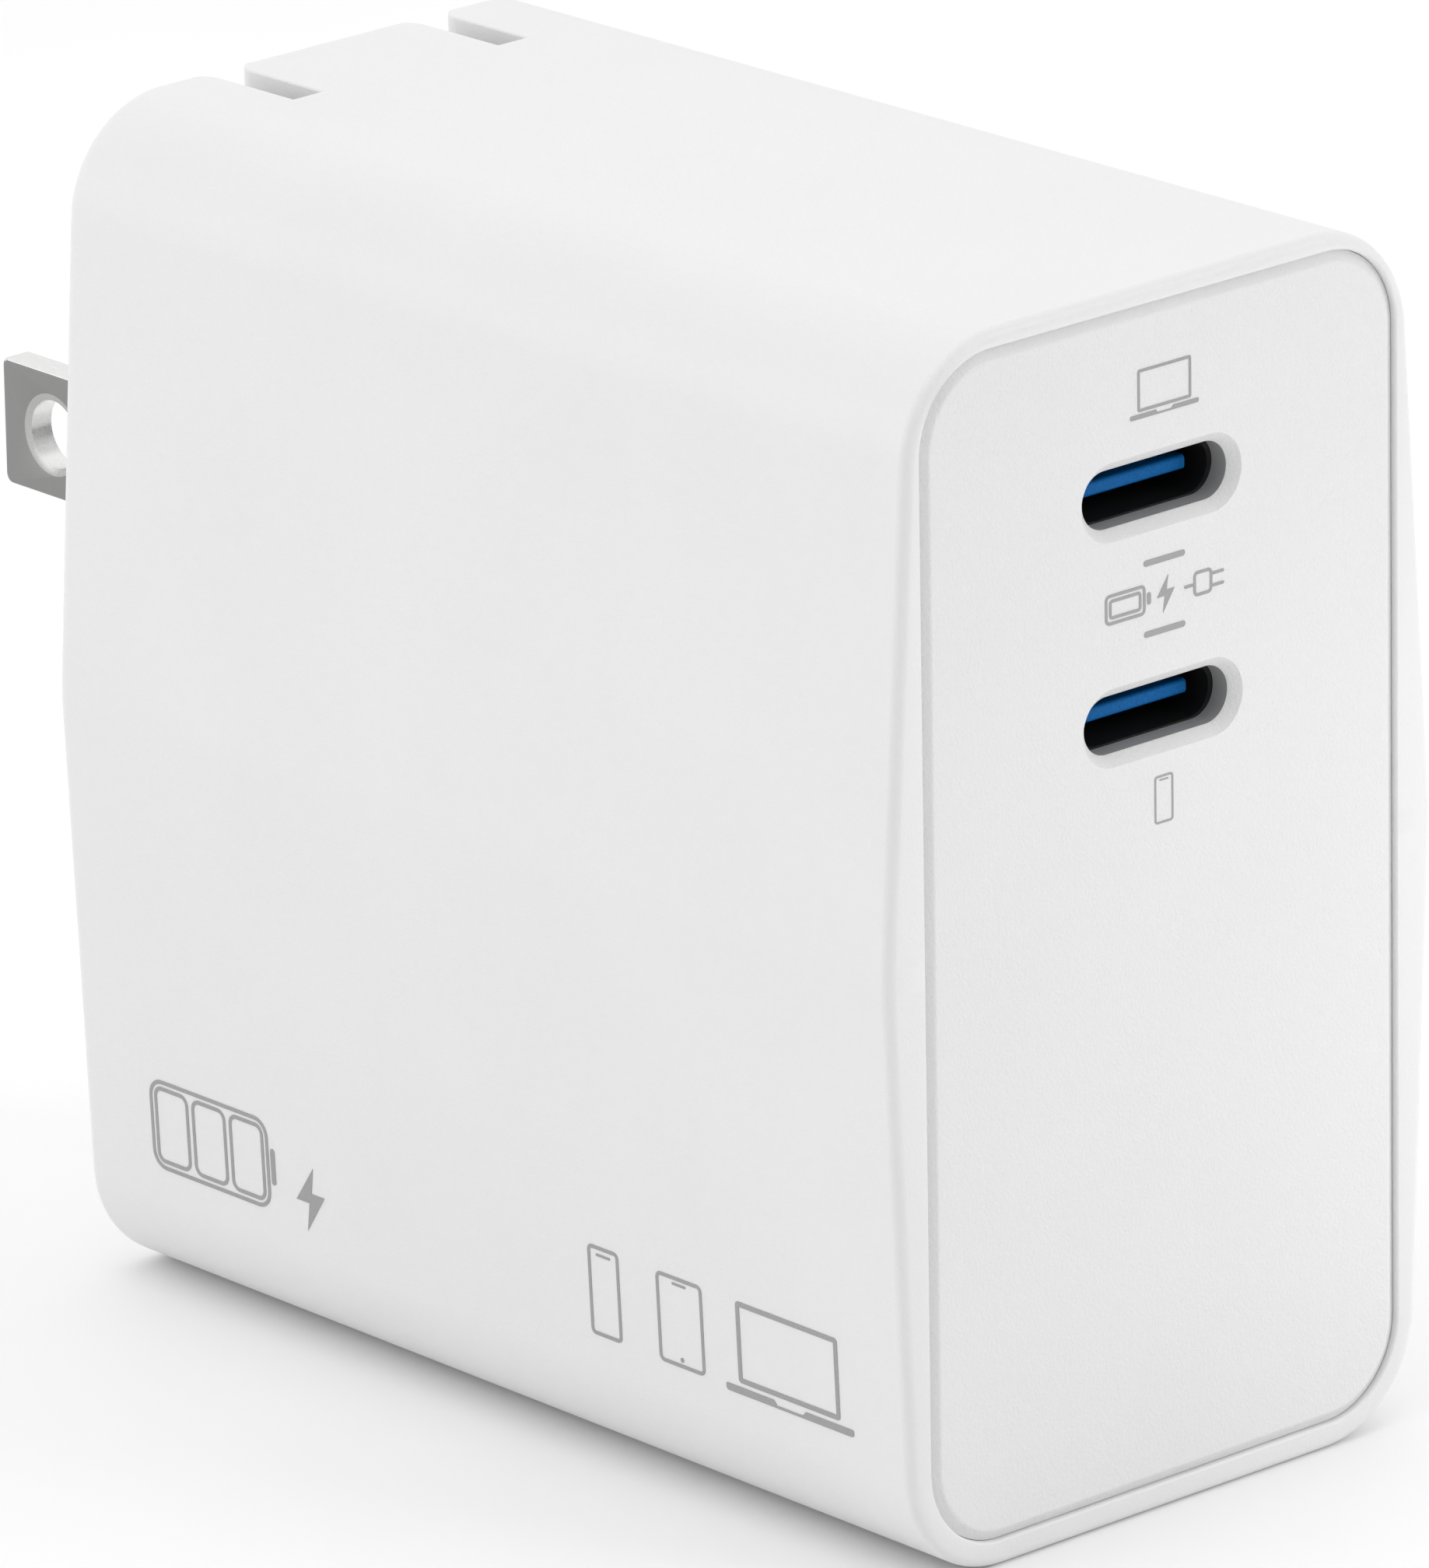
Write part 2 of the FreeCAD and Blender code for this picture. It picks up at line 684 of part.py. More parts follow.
def make_capacitor_can(place):
    """One electrolytic can, lying along Y, with a rolled neck near its seal."""
    x, z = place
    can = rod(capacitor_radius, (x, capacitor_y[0], z), (0, 1, 0), capacitor_y[1] - capacitor_y[0])
    neck = tube(capacitor_radius + beyond, capacitor_radius - capacitor_neck_depth,
                (x, capacitor_neck_y, z), (0, 1, 0), capacitor_neck_width)
    seal_room = rod(capacitor_radius - capacitor_rim, (x, seal_y, z), (0, 1, 0), 2 * seal_thickness)
    return can.cut([neck, seal_room])


def make_capacitor_sleeve(place):
    x, z = place
    return tube(capacitor_radius + sleeve_thickness, capacitor_radius, (x, capacitor_y[0], z), (0, 1, 0),
                sleeve_end - capacitor_y[0])


def make_capacitor_seal(place):
    """The rubber seal of one can, with its two leads."""
    x, z = place
    seal = rod(capacitor_radius - capacitor_rim, (x, seal_y, z), (0, 1, 0), seal_thickness)
    leads = [rod(lead_radius, (x + side * lead_spread, seal_y, z), (0, 1, 0), lead_length)
             for side in (-1, 1)]
    return seal.fuse(leads).removeSplitter()


def make_choke_core():
    """The toroid of the mains filter."""
    x, y, z = choke_middle
    return tube(choke_radius, choke_bore, (x - choke_half_width, y, z), (1, 0, 0), 2 * choke_half_width)


def make_choke_winding(side):
    """One half of the filter's winding, wrapped over one half of the toroid."""
    x, y, z = choke_middle
    half_width = choke_half_width + choke_wire
    radius = choke_radius + choke_wire
    wrap = tube(radius, choke_bore - choke_wire, (x - half_width, y, z), (1, 0, 0), 2 * half_width)
    half = box((x - half_width, x + half_width), (y - radius, y + radius),
               sorted((z + side * choke_half_gap, z + side * radius)))
    return wrap.common(half).cut(make_choke_core())


def make_x_capacitor():
    block = box(*x_capacitor_block)
    return block.makeFillet(0.5, block.Edges)


def make_coated_disc(radius, start, width, edge_radius):
    """A dipped disc on Y with rounded edges."""
    disc = rod(radius, start, (0, 1, 0), width)
    return disc.makeFillet(edge_radius, [edge for edge in disc.Edges if edge.Length > 2 * radius])


def make_bridge_rectifier():
    """A moulded block with chamfers round its free face."""
    block = box(*rectifier_block)
    free_x = rectifier_block[0][1]
    return block.makeChamfer(0.3, [edge for edge in block.Edges if edge.CenterOfMass.x > free_x - 0.1])


def make_output_capacitors():
    """Polymer cans that stand on the main board behind the ports."""
    cans = []
    for z in output_capacitor_heights:
        can = rod(output_capacitor_radius, (component_x, output_capacitor_y, z), (1, 0, 0),
                  output_capacitor_length)
        far_x = component_x + output_capacitor_length
        far_rim = [edge for edge in can.Edges if edge.CenterOfMass.x > far_x - 0.1]
        cans.append(can.makeFillet(0.4, far_rim))
    return Part.makeCompound(cans)


def make_output_inductors():
    coils = []
    for z in inductor_heights:
        block = box(inductor_x, inductor_y, (z - inductor_half_height, z + inductor_half_height))
        coils.append(block.makeFillet(0.6, block.Edges))
    return Part.makeCompound(coils)


def make_power_switches():
    chips = [box((component_x, component_x + switch_thickness), (y, y + switch_length), switch_z)
             for y in switch_starts]
    return Part.makeCompound(chips)


def make_control_chips():
    chips = [box((component_x, component_x + chip_thickness), (y, y + chip_side), (z, z + chip_side))
             for y, z in chip_places]
    return Part.makeCompound(chips)


def make_heat_spreader():
    """A thin plate along the right wall, bent in under the transformer."""
    return box(*spreader_plate).fuse(box(*spreader_flange)).removeSplitter()


def save(name, shape):
    """Write one node, after a check that it is sound."""
    if not shape.isValid() or not shape.Solids:
        raise ValueError("bad shape: " + name)
    shape.exportStep(os.path.join("parts", name + ".step"))


os.makedirs("parts", exist_ok=True)

save("housing", make_housing())
save("front_panel", make_front_panel())
for port_name, port_z in port_heights.items():
    save(port_name + "_port_shell", make_port_shell(port_z))
    save(port_name + "_port_base", make_port_base(port_z))
    save(port_name + "_port_tongue", make_port_tongue(port_z))
    save(port_name + "_port_contacts", make_port_contacts(port_z))

left_blade = make_blade(-blade_spacing / 2)
right_blade = make_blade(blade_spacing / 2)
save("left_blade", left_blade)
save("right_blade", right_blade)
save("blade_rotor", make_rotor([left_blade, right_blade]))
save("blade_bracket", make_bracket())
save("bracket_screws", make_bracket_screws())
for side_name in spring_lead_y:
    save(side_name + "_contact_spring", make_contact_spring(side_name))
save("detent_spring", make_detent_spring())

save("main_board", make_main_board())
save("usb_board", make_usb_board())
save("header_pins", make_header_pins())
save("transformer_core_lower", make_core_half(-1))
save("transformer_core_upper", make_core_half(1))
save("transformer_bobbin", make_bobbin())
save("transformer_winding", make_winding_layer(winding_radius, bobbin_radius))
save("transformer_tape", make_winding_layer(tape_radius, winding_radius))
for side_name, can_place in capacitor_places.items():
    save(side_name + "_bulk_capacitor", make_capacitor_can(can_place))
    save(side_name + "_capacitor_sleeve", make_capacitor_sleeve(can_place))
    save(side_name + "_capacitor_seal", make_capacitor_seal(can_place))
save("choke_core", make_choke_core())
save("choke_winding_lower", make_choke_winding(-1))
save("choke_winding_upper", make_choke_winding(1))
save("x_capacitor", make_x_capacitor())
save("y_capacitor", make_coated_disc(y_capacitor_radius, y_capacitor_start, y_capacitor_width, 0.8))
save("fuse", rod(fuse_radius, fuse_start, (0, 1, 0), fuse_length))
save("varistor", make_coated_disc(varistor_radius, varistor_start, varistor_width, 0.9))
save("bridge_rectifier", make_bridge_rectifier())
save("output_capacitors", make_output_capacitors())
save("output_inductors", make_output_inductors())
save("power_switches", make_power_switches())
save("control_chips", make_control_chips())
save("heat_spreader", make_heat_spreader())
save("thermal_pad", box(*pad_block))
save("insulating_sheet", box(*film_block))
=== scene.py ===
"""Looks of a dual USB-C wall charger: white satin body, textured front panel, printed pictograms.

Shapes are worked out in millimetres and turned into metres when a mesh is made. X runs across the
width, Y from the ports to the blades and Z up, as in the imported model.
"""
import json
import math

import bmesh
import bpy
from mathutils import Matrix, Quaternion, Vector


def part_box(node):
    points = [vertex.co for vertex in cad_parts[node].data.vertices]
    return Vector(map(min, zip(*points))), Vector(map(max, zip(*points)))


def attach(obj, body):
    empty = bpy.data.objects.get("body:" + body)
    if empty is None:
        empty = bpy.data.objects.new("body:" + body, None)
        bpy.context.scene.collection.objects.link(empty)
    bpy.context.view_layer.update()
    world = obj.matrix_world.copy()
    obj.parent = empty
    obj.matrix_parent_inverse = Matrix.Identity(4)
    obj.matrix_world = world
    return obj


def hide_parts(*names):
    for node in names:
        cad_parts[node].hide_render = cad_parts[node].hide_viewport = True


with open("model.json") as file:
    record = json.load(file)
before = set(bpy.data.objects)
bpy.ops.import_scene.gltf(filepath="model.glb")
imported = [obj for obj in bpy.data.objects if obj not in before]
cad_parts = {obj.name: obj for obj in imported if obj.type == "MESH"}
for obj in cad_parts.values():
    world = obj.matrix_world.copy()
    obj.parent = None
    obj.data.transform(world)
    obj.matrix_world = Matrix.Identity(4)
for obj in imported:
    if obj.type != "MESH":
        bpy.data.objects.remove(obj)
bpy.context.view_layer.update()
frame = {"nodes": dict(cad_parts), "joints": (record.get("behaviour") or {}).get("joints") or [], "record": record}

MM = 0.001

# Body, in millimetres. The box gives its ends, and the rest repeats the measures of its section.
body_low, body_high = [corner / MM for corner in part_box("housing")]
FRONT = body_low.y
REAR = body_high.y
TOP = body_high.z
DEPTH = REAR - FRONT
TOP_HALF = 15.2
RIDGE_HALF = 17.0
BASE_HALF = 15.7
RIDGE_Z = 29.6
RIDGE_RADIUS = 14.0
CORNER_RADIUS = 5.7
REAR_WIDENING = 0.15
REAR_LOWERING = 0.8
FRONT_EDGE = 0.55
REAR_EDGE = 0.6
WALL = 1.8
REAR_WALL = REAR - WALL

# Front panel and the groove round it.
PANEL_WIDTH = 28.5
PANEL_HEIGHT = 55.8
PANEL_MIDDLE = 29.6
PANEL_RADIUS = 3.9
PANEL_EDGE = 0.25
GROOVE = 0.4
GROOVE_DEPTH = 0.32
GROOVE_FLAT = 0.04
EDGE_LEAN = math.radians(45)
PANEL_THICKNESS = 2.4
FLANGE_GAP = 0.03
SKIRT_LENGTH = 3.5
SKIRT_WALL = 1.2
SKIRT_INSET = 1.15
SKIRT_RADIUS = 2.9
SKIRT_BORE_RADIUS = 1.9
MOUTH_EDGE = 0.14

# Ports.
PORT_HEIGHTS = [(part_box(name)[0].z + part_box(name)[1].z) / 2 / MM
                for name in ("upper_port_shell", "lower_port_shell")]
PORT_WIDTH = 8.9
PORT_HEIGHT = 2.75
PORT_LIP = 0.5
PORT_STEP = 1.45
END_FLAT = 0.01
# The collar is a grey lining of painted shade on each port's wall behind the lip.
COLLAR_WALL = 0.3
COLLAR_GAP = 0.01
PORT_ROOM_WIDTH = 9.04
PORT_ROOM_HEIGHT = 3.26

# Blades, their slots, the windows for their hubs, and the channels, posts and hub room behind them.
PIVOT = Vector(frame["joints"][0]["pos_m"]) / MM
BLADE_SPACING = 12.7
BLADE_THICKNESS = 1.5
BLADE_WIDTH = 6.35
BLADE_REACH = 15.8
BLADE_Z = 37.3
BLADE_ROOT = 0.6
BLADE_ROOT_RADIUS = 0.3
BLADE_TIP = 0.5
BLADE_EDGE = 0.2
BLADE_TAPER = 0.38
TAIL_REACH = 4.8
TAIL_HALF = 1.5
TAIL_RADIUS = 1.2
HOLE_RADIUS = 1.7
HOLE_REACH = 12.1
SINK_WIDTH = 0.35
SINK_DEPTH = 0.14
SINK_ZONE = 0.8
SLOT_HALF = 0.9
SLOT_DEPTH = 6.7
SLOT_EDGE = 0.14
SLOT_FLARE = 1.6
WINDOW_HALF = SLOT_HALF + SLOT_FLARE
WINDOW_REACH = 3.825
POCKET_FLOOR = 0.3
CHANNEL_WALL = 0.9
CHANNEL_LIFT = 0.1
RELIEF_RADIUS = 2.8
RELIEF_PLAY = 0.1
POST_RADIUS = 2.1
POST_LENGTH = 3.4
POST_X = 11.0
POST_DROP = 8.2

# How finely round stretches are divided, and the least share of an edge that is left where it fades.
ARC_STEPS = 20
RIDGE_STEPS = 6
EDGE_STEPS = 6
FLARE_STEPS = 4
FINE_STEPS = 3
ROLL_STEPS = 4
BLADE_STEPS = 8
HOLE_STEPS = 64
ROD_STEPS = 32
LEAST_EDGE = 0.05

# Edges sharper than this many degrees stay hard.
SHARP = 38
BLADE_SHARP = 30

# A blade's face by the X or Z part of its normal: its flat sides, its hole's wall, its upper edges. Edges that
# face up take the bright nickel as a painted highlight, and the other edges take the flat sides' darker nickel as
# painted shade.
FLAT_SIDE = 0.999
HOLE_WALL = 0.01
UPPER_EDGE = 0.3


def leans(steps, last=math.pi / 2):
    """Even angles from 0 to 90 degrees, or to another last one."""
    return [last * step / steps for step in range(steps + 1)]


def arc_at(before, corner, after, radius, steps):
    """Points on the arc that rounds one corner of an outline."""
    here = Vector(corner)
    back = (Vector(before) - here).normalized()
    ahead = (Vector(after) - here).normalized()
    half = math.acos(max(-1.0, min(1.0, back.dot(ahead)))) / 2
    middle = here + (back + ahead).normalized() * (radius / math.sin(half))
    start = here + back * (radius / math.tan(half)) - middle
    end = here + ahead * (radius / math.tan(half)) - middle
    turn = math.atan2(start.x * end.y - start.y * end.x, start.dot(end))
    points = []
    for step in range(steps + 1):
        angle = turn * step / steps
        cos, sin = math.cos(angle), math.sin(angle)
        points.append(middle + Vector((start.x * cos - start.y * sin, start.x * sin + start.y * cos)))
    return points


def rounded(corners, steps):
    """A closed outline through (u, v, radius) corners."""
    points = []
    for index, (u, v, radius) in enumerate(corners):
        before = corners[index - 1][:2]
        after = corners[(index + 1) % len(corners)][:2]
        if radius > 0:
            points += arc_at(before, (u, v), after, radius, steps)
        else:
            points.append(Vector((u, v)))
    return points


def rectangle(half_width, half_height, radius, middle=(0, 0), steps=ARC_STEPS):
    """A closed rounded rectangle."""
    u, v = middle
    corners = [(u + half_width, v + half_height, radius), (u + half_width, v - half_height, radius),
               (u - half_width, v - half_height, radius), (u - half_width, v + half_height, radius)]
    return rounded(corners, steps)


def ring(bm, outline, y):
    """Vertices of an outline (x, z) that stands across the depth at y."""
    return [bm.verts.new((point[0], y, point[1])) for point in outline]


def bridge(bm, first, second, gaps=()):
    """Quads between two closed rings with as many vertices, but for the gaps."""
    count = len(first)
    for index in range(count):
        following = (index + 1) % count
        if index not in gaps:
            bm.faces.new((first[index], first[following], second[following], second[index]))


def chain(bm, rings, gaps=()):
    """Quads from each ring to the next."""
    for first, second in zip(rings, rings[1:]):
        bridge(bm, first, second, gaps)


def fill(bm, loops):
    """Close the flat area between an outer ring and any rings inside it."""
    edges = []
    for loop in loops:
        for index, vert in enumerate(loop):
            edge = bm.edges.get((loop[index - 1], vert))
            edges.append(edge or bm.edges.new((loop[index - 1], vert)))
    bmesh.ops.triangle_fill(bm, use_beauty=True, edges=edges)


def block(bm, x_range, y_range, z_range):
    """A plain closed block, for the channels inside."""
    corners = [bm.verts.new((x, y, z)) for z in z_range for y in y_range for x in x_range]
    for face in ((0, 1, 3, 2), (4, 6, 7, 5), (0, 4, 5, 1), (2, 3, 7, 6), (0, 2, 6, 4), (1, 5, 7, 3)):
        bm.faces.new([corners[index] for index in face])


def rod(bm, radius, axis, ends, middle):
    """A closed cylinder along X or Y."""
    rings = []
    for end in ends:
        points = []
        for step in range(ROD_STEPS):
            angle = 2 * math.pi * step / ROD_STEPS
            across, up = radius * math.cos(angle), radius * math.sin(angle)
            if axis == "Y":
                points.append((middle[0] + across, end, middle[1] + up))
            else:
                points.append((end, middle[0] + across, middle[1] + up))
        rings.append([bm.verts.new(point) for point in points])
    chain(bm, rings)
    for end in rings:
        bm.faces.new(end)


def new_object(name, bm, scale=1.0):
    """An object from a bmesh, linked to the scene."""
    bmesh.ops.recalc_face_normals(bm, faces=bm.faces)
    bmesh.ops.scale(bm, vec=(scale, scale, scale), verts=bm.verts)
    mesh = bpy.data.meshes.new(name)
    bm.to_mesh(mesh)
    bm.free()
    made = bpy.data.objects.new(name, mesh)
    bpy.context.scene.collection.objects.link(made)
    return made


def subtract(target, cutter):
    """Cut one closed mesh out of another and drop the cutter."""
    modifier = target.modifiers.new("cut", "BOOLEAN")
    modifier.operation = "DIFFERENCE"
    modifier.solver = "EXACT"
    modifier.object = cutter
    bpy.context.view_layer.update()
    evaluated = target.evaluated_get(bpy.context.evaluated_depsgraph_get())
    result = bpy.data.meshes.new_from_object(evaluated)
    target.modifiers.clear()
    old = target.data
    target.data = result
    bpy.data.meshes.remove(old)
    cutter_mesh = cutter.data
    bpy.data.objects.remove(cutter)
    bpy.data.meshes.remove(cutter_mesh)


def smooth(piece, angle=SHARP):
    """Smooth shading that keeps flat faces flat and hard corners hard."""
    piece.data.shade_smooth()
    piece.data.set_sharp_from_angle(angle=math.radians(angle))
    modifier = piece.modifiers.new("weighted normals", "WEIGHTED_NORMAL")
    modifier.weight = 100
    modifier.keep_sharp = True


# ---------------------------------------------------------------- body shell

def slot_reach(y):
    """Half the width of a slot at y, where it opens out towards the rear."""
    along = max(0.0, y - (REAR - SLOT_FLARE))
    return SLOT_HALF + SLOT_FLARE - math.sqrt(max(0.0, SLOT_FLARE ** 2 - along ** 2))


def slot_columns(reach):
    """Where the slots' edges cross the top, from left to right."""
    half = BLADE_SPACING / 2
    return [-half - reach, -half + reach, half - reach, half + reach]


def body_outline(y, inset, reach=SLOT_HALF + SLOT_EDGE):
    """The body's section at y, with points on its top where the slots' edges are."""
    share = (y - FRONT) / DEPTH
    growth = REAR_WIDENING * share - inset
    top_half = TOP_HALF + growth
    ridge = (RIDGE_HALF + growth, RIDGE_Z)
    base = (BASE_HALF + growth, inset)
    top = TOP - REAR_LOWERING * share - inset
    radius = CORNER_RADIUS - inset
    right = arc_at((-top_half, top), (top_half, top), ridge, radius, ARC_STEPS)
    right += arc_at((top_half, top), ridge, base, RIDGE_RADIUS, RIDGE_STEPS)
    right += arc_at(ridge, base, (-base[0], inset), radius, ARC_STEPS)
    left = [Vector((-point.x, point.y)) for point in reversed(right)]
    return right + left + [Vector((x, top)) for x in slot_columns(reach)]


def mouth_outline(grow):
    """The opening that the panel sits in, with as many points as the body's section."""
    half_width = PANEL_WIDTH / 2 + GROOVE + grow
    half_height = PANEL_HEIGHT / 2 + GROOVE + grow
    radius = PANEL_RADIUS + GROOVE + grow
    top = PANEL_MIDDLE + half_height
    bottom = PANEL_MIDDLE - half_height
    right = arc_at((-half_width, top), (half_width, top), (half_width, bottom), radius, ARC_STEPS)
    ridge = body_outline(FRONT, FRONT_EDGE)[ARC_STEPS + 1:ARC_STEPS + RIDGE_STEPS + 2]
    right += [Vector((half_width, point.y)) for point in ridge]
    right += arc_at((half_width, top), (half_width, bottom), (-half_width, bottom), radius, ARC_STEPS)
    left = [Vector((-point.x, point.y)) for point in reversed(right)]
    return right + left + [Vector((x, top)) for x in slot_columns(SLOT_HALF + SLOT_EDGE)]


def body_stations():
    """Sections of the body from front to rear: depth, inset, lean of the surface, slot edge."""
    stations = []
    for angle in leans(EDGE_STEPS):
        stations.append((FRONT + FRONT_EDGE * (1 - math.cos(angle)),
                         FRONT_EDGE * (1 - math.sin(angle)), 0.0, SLOT_EDGE))
    first_slot_row = len(stations)
    stations.append((REAR - SLOT_DEPTH - SLOT_EDGE, 0.0, 0.0, SLOT_EDGE))
    for step in range(FLARE_STEPS):
        along = (SLOT_FLARE - REAR_EDGE) * step / FLARE_STEPS
        stations.append((REAR - SLOT_FLARE + along, 0.0, 0.0, SLOT_EDGE))
    for angle in leans(EDGE_STEPS):
        edge = SLOT_EDGE * max(LEAST_EDGE, math.cos(angle))
        stations.append((REAR - REAR_EDGE * (1 - math.sin(angle)),
                         REAR_EDGE * (1 - math.cos(angle)), angle, edge))
    return stations, first_slot_row


def slot_levels(bm, middle, stations, rings, columns):
    """The rounded edge of one slot and its window, as loops from the surface down to the walls.

    Each loop runs from the window's lower left corner up the slot's left side to its front end and
    back down the right side. The loop on the surface shares the body's own vertices.
    """
    window_top = PIVOT.z + WINDOW_REACH
    window_bottom = PIVOT.z - WINDOW_REACH
    levels = []
    for angle in leans(FINE_STEPS):
        sides = []
        for side, column in ((-1, columns[0]), (1, columns[1])):
            rows = []
            for index, (y, inset, lean, edge) in enumerate(stations):
                if not levels:
                    rows.append(rings[index][column])
                    continue
                grow = edge * (1 - math.sin(angle))
                sink = edge * (1 - math.cos(angle))
                top = TOP - REAR_LOWERING * (y - FRONT) / DEPTH - inset
                row_y = REAR - SLOT_DEPTH - grow if index == 0 else y - sink * math.sin(lean)
                rows.append(bm.verts.new((middle + side * (slot_reach(y) + grow), row_y,
                                          top - sink * math.cos(lean))))
            for height, edge, drop in ((window_top, SLOT_EDGE * LEAST_EDGE, 0),
                                       (window_top - SLOT_EDGE, SLOT_EDGE, 0),
                                       (window_bottom, SLOT_EDGE, 1)):
                grow = edge * (1 - math.sin(angle))
                rows.append(bm.verts.new((middle + side * (WINDOW_HALF + grow),
                                          REAR - edge * (1 - math.cos(angle)), height - drop * grow)))
            sides.append(rows)
        levels.append(list(reversed(sides[0])) + sides[1])
    return levels


def slot_walls(bm, middle, loop):
    """The walls of one slot and its window, inwards from the loop where its rounded edge ends."""
    window_top = PIVOT.z + WINDOW_REACH
    floor = window_top - POCKET_FLOOR
    back = REAR_WALL - POCKET_FLOOR
    end = REAR - SLOT_DEPTH
    half = len(loop) // 2
    left = loop[:half]
    right = list(reversed(loop[half:]))
    walls = {}
    for side, rows in ((-1, left), (1, right)):
        low, high, corner = rows[0], rows[1], rows[2]
        slot_x = middle + side * SLOT_HALF
        window_x = middle + side * WINDOW_HALF
        low_back = bm.verts.new((window_x, back, PIVOT.z - WINDOW_REACH))
        high_back = bm.verts.new((window_x, back, window_top))
        corner_back = bm.verts.new((slot_x, back, window_top))
        floor_back = bm.verts.new((slot_x, back, floor))
        floor_end = bm.verts.new((slot_x, end, floor))
        flare = rows[3:-1]
        feet = [corner] + [bm.verts.new((row.co.x, row.co.y, window_top)) for row in flare[1:]]
        bm.faces.new((low, high, corner, high_back, low_back))
        bm.faces.new(feet + [corner_back, high_back])
        bm.faces.new((rows[-1], flare[-1], feet[-1], corner_back, floor_back, floor_end))
        for index in range(len(flare) - 1):
            bm.faces.new((flare[index], flare[index + 1], feet[index + 1], feet[index]))
        walls[side] = (low, low_back, high_back, corner_back, floor_back, floor_end, rows[-1])
    # Across from side to side: the window's sill and back, then the slot's floor and front end.
    a, b = walls[-1], walls[1]
    bm.faces.new((a[0], b[0], b[1], a[1]))
    bm.faces.new((a[1], b[1], b[2], b[3], b[4], a[4], a[3], a[2]))
    bm.faces.new((a[4], b[4], b[5], a[5]))
    bm.faces.new((a[5], b[5], b[6], a[6]))


def body_skin():
    """The outside of the body as one closed mesh, with the mouth and both slots as pockets."""
    bm = bmesh.new()
    stations, first_slot_row = body_stations()
    rings = [ring(bm, body_outline(y, inset, slot_reach(y) + edge), y) for y, inset, _, edge in stations]
    count = len(rings[0])
    slots = ((count - 4, count - 3), (count - 2, count - 1))
    gaps = [left for left, _ in slots]
    chain(bm, rings[:first_slot_row + 1])
    chain(bm, rings[first_slot_row:], gaps)
    mouth = [ring(bm, mouth_outline(MOUTH_EDGE * (1 - math.sin(angle))),
                  FRONT + MOUTH_EDGE * (1 - math.cos(angle))) for angle in leans(FINE_STEPS)]
    mouth.append(ring(bm, mouth_outline(0), FRONT + PANEL_THICKNESS + POCKET_FLOOR))
    chain(bm, [rings[0]] + mouth)
    bm.faces.new(mouth[-1])
    # The rear face runs round the body's last ring and down round both windows.
    rear = rings[-1]
    cap = rear[:count - 4]
    for columns, side in zip(slots, (-1, 1)):
        levels = slot_levels(bm, side * BLADE_SPACING / 2, stations[first_slot_row:],
                             rings[first_slot_row:], columns)
        chain(bm, levels)
        slot_walls(bm, side * BLADE_SPACING / 2, levels[-1])
        surface = levels[0]
        cap += [rear[columns[0]]] + list(reversed(surface[:3])) + list(reversed(surface[-3:]))
        cap += [rear[columns[1]]]
    bm.faces.new(cap)
    return new_object("shell", bm)


def body_inside():
    """The space inside the body, clear of the channels and posts, and the room between the hubs."""
    bm = bmesh.new()
    front = ring(bm, body_outline(FRONT + PANEL_THICKNESS, WALL), FRONT + PANEL_THICKNESS)
    back = ring(bm, body_outline(REAR_WALL, WALL), REAR_WALL)
    bridge(bm, front, back)
    bm.faces.new(front)
    bm.faces.new(back)
    inside = new_object("inside", bm)
    bm = bmesh.new()
    half = SLOT_HALF + CHANNEL_WALL
    channel_front = REAR - SLOT_DEPTH - CHANNEL_WALL
    for side in (-1, 1):
        x = side * BLADE_SPACING / 2
        block(bm, (x - half, x + half), (channel_front, REAR_WALL + WALL / 2),
              (PIVOT.z + WINDOW_REACH + CHANNEL_LIFT, TOP - REAR_LOWERING - WALL / 2))
        for drop in (-POST_DROP, POST_DROP):
            rod(bm, POST_RADIUS, "Y", (REAR_WALL - POST_LENGTH, REAR_WALL + WALL / 2),
                (side * POST_X, PIVOT.z + drop))
    subtract(inside, new_object("channels", bm))
    bm = bmesh.new()
    reach = BLADE_SPACING / 2 - WINDOW_HALF + RELIEF_PLAY
    rod(bm, RELIEF_RADIUS, "X", (-reach, reach), (PIVOT.y, PIVOT.z))
    return inside, new_object("hub_room", bm)


def make_shell():
    """The hollow shell: the outer skin less the space inside."""
    shell = body_skin()
    for space in body_inside():
        subtract(shell, space)
    shell.data.transform(Matrix.Scale(MM, 4))
    smooth(shell)
    return shell


# ---------------------------------------------------------------- front panel

def port_outline(z, grow):
    """The opening of the port at height z, grown on all sides."""
    half_height = PORT_HEIGHT / 2 + grow
    return rectangle(PORT_WIDTH / 2 + grow, half_height, half_height - END_FLAT, (0, z))


def room_outline(z):
    """The wider space behind a port's opening, where the receptacle stands."""
    half_height = PORT_ROOM_HEIGHT / 2
    return rectangle(PORT_ROOM_WIDTH / 2, half_height, half_height - END_FLAT, (0, z))


def make_shade_ring(name, z):
    """The grey collar that lines one port's opening, behind its lip: painted shade on a wall that is white plastic
    in shade.
    """
    bm = bmesh.new()
    front = FRONT + PORT_LIP + COLLAR_GAP
    back = FRONT + PORT_STEP - COLLAR_GAP
    outer = [ring(bm, port_outline(z, COLLAR_WALL), y) for y in (back, front)]
    inner = [ring(bm, port_outline(z, 0), y) for y in (front, back)]
    chain(bm, outer + inner + outer[:1])
    collar = new_object(name, bm, MM)
    smooth(collar)
    return collar


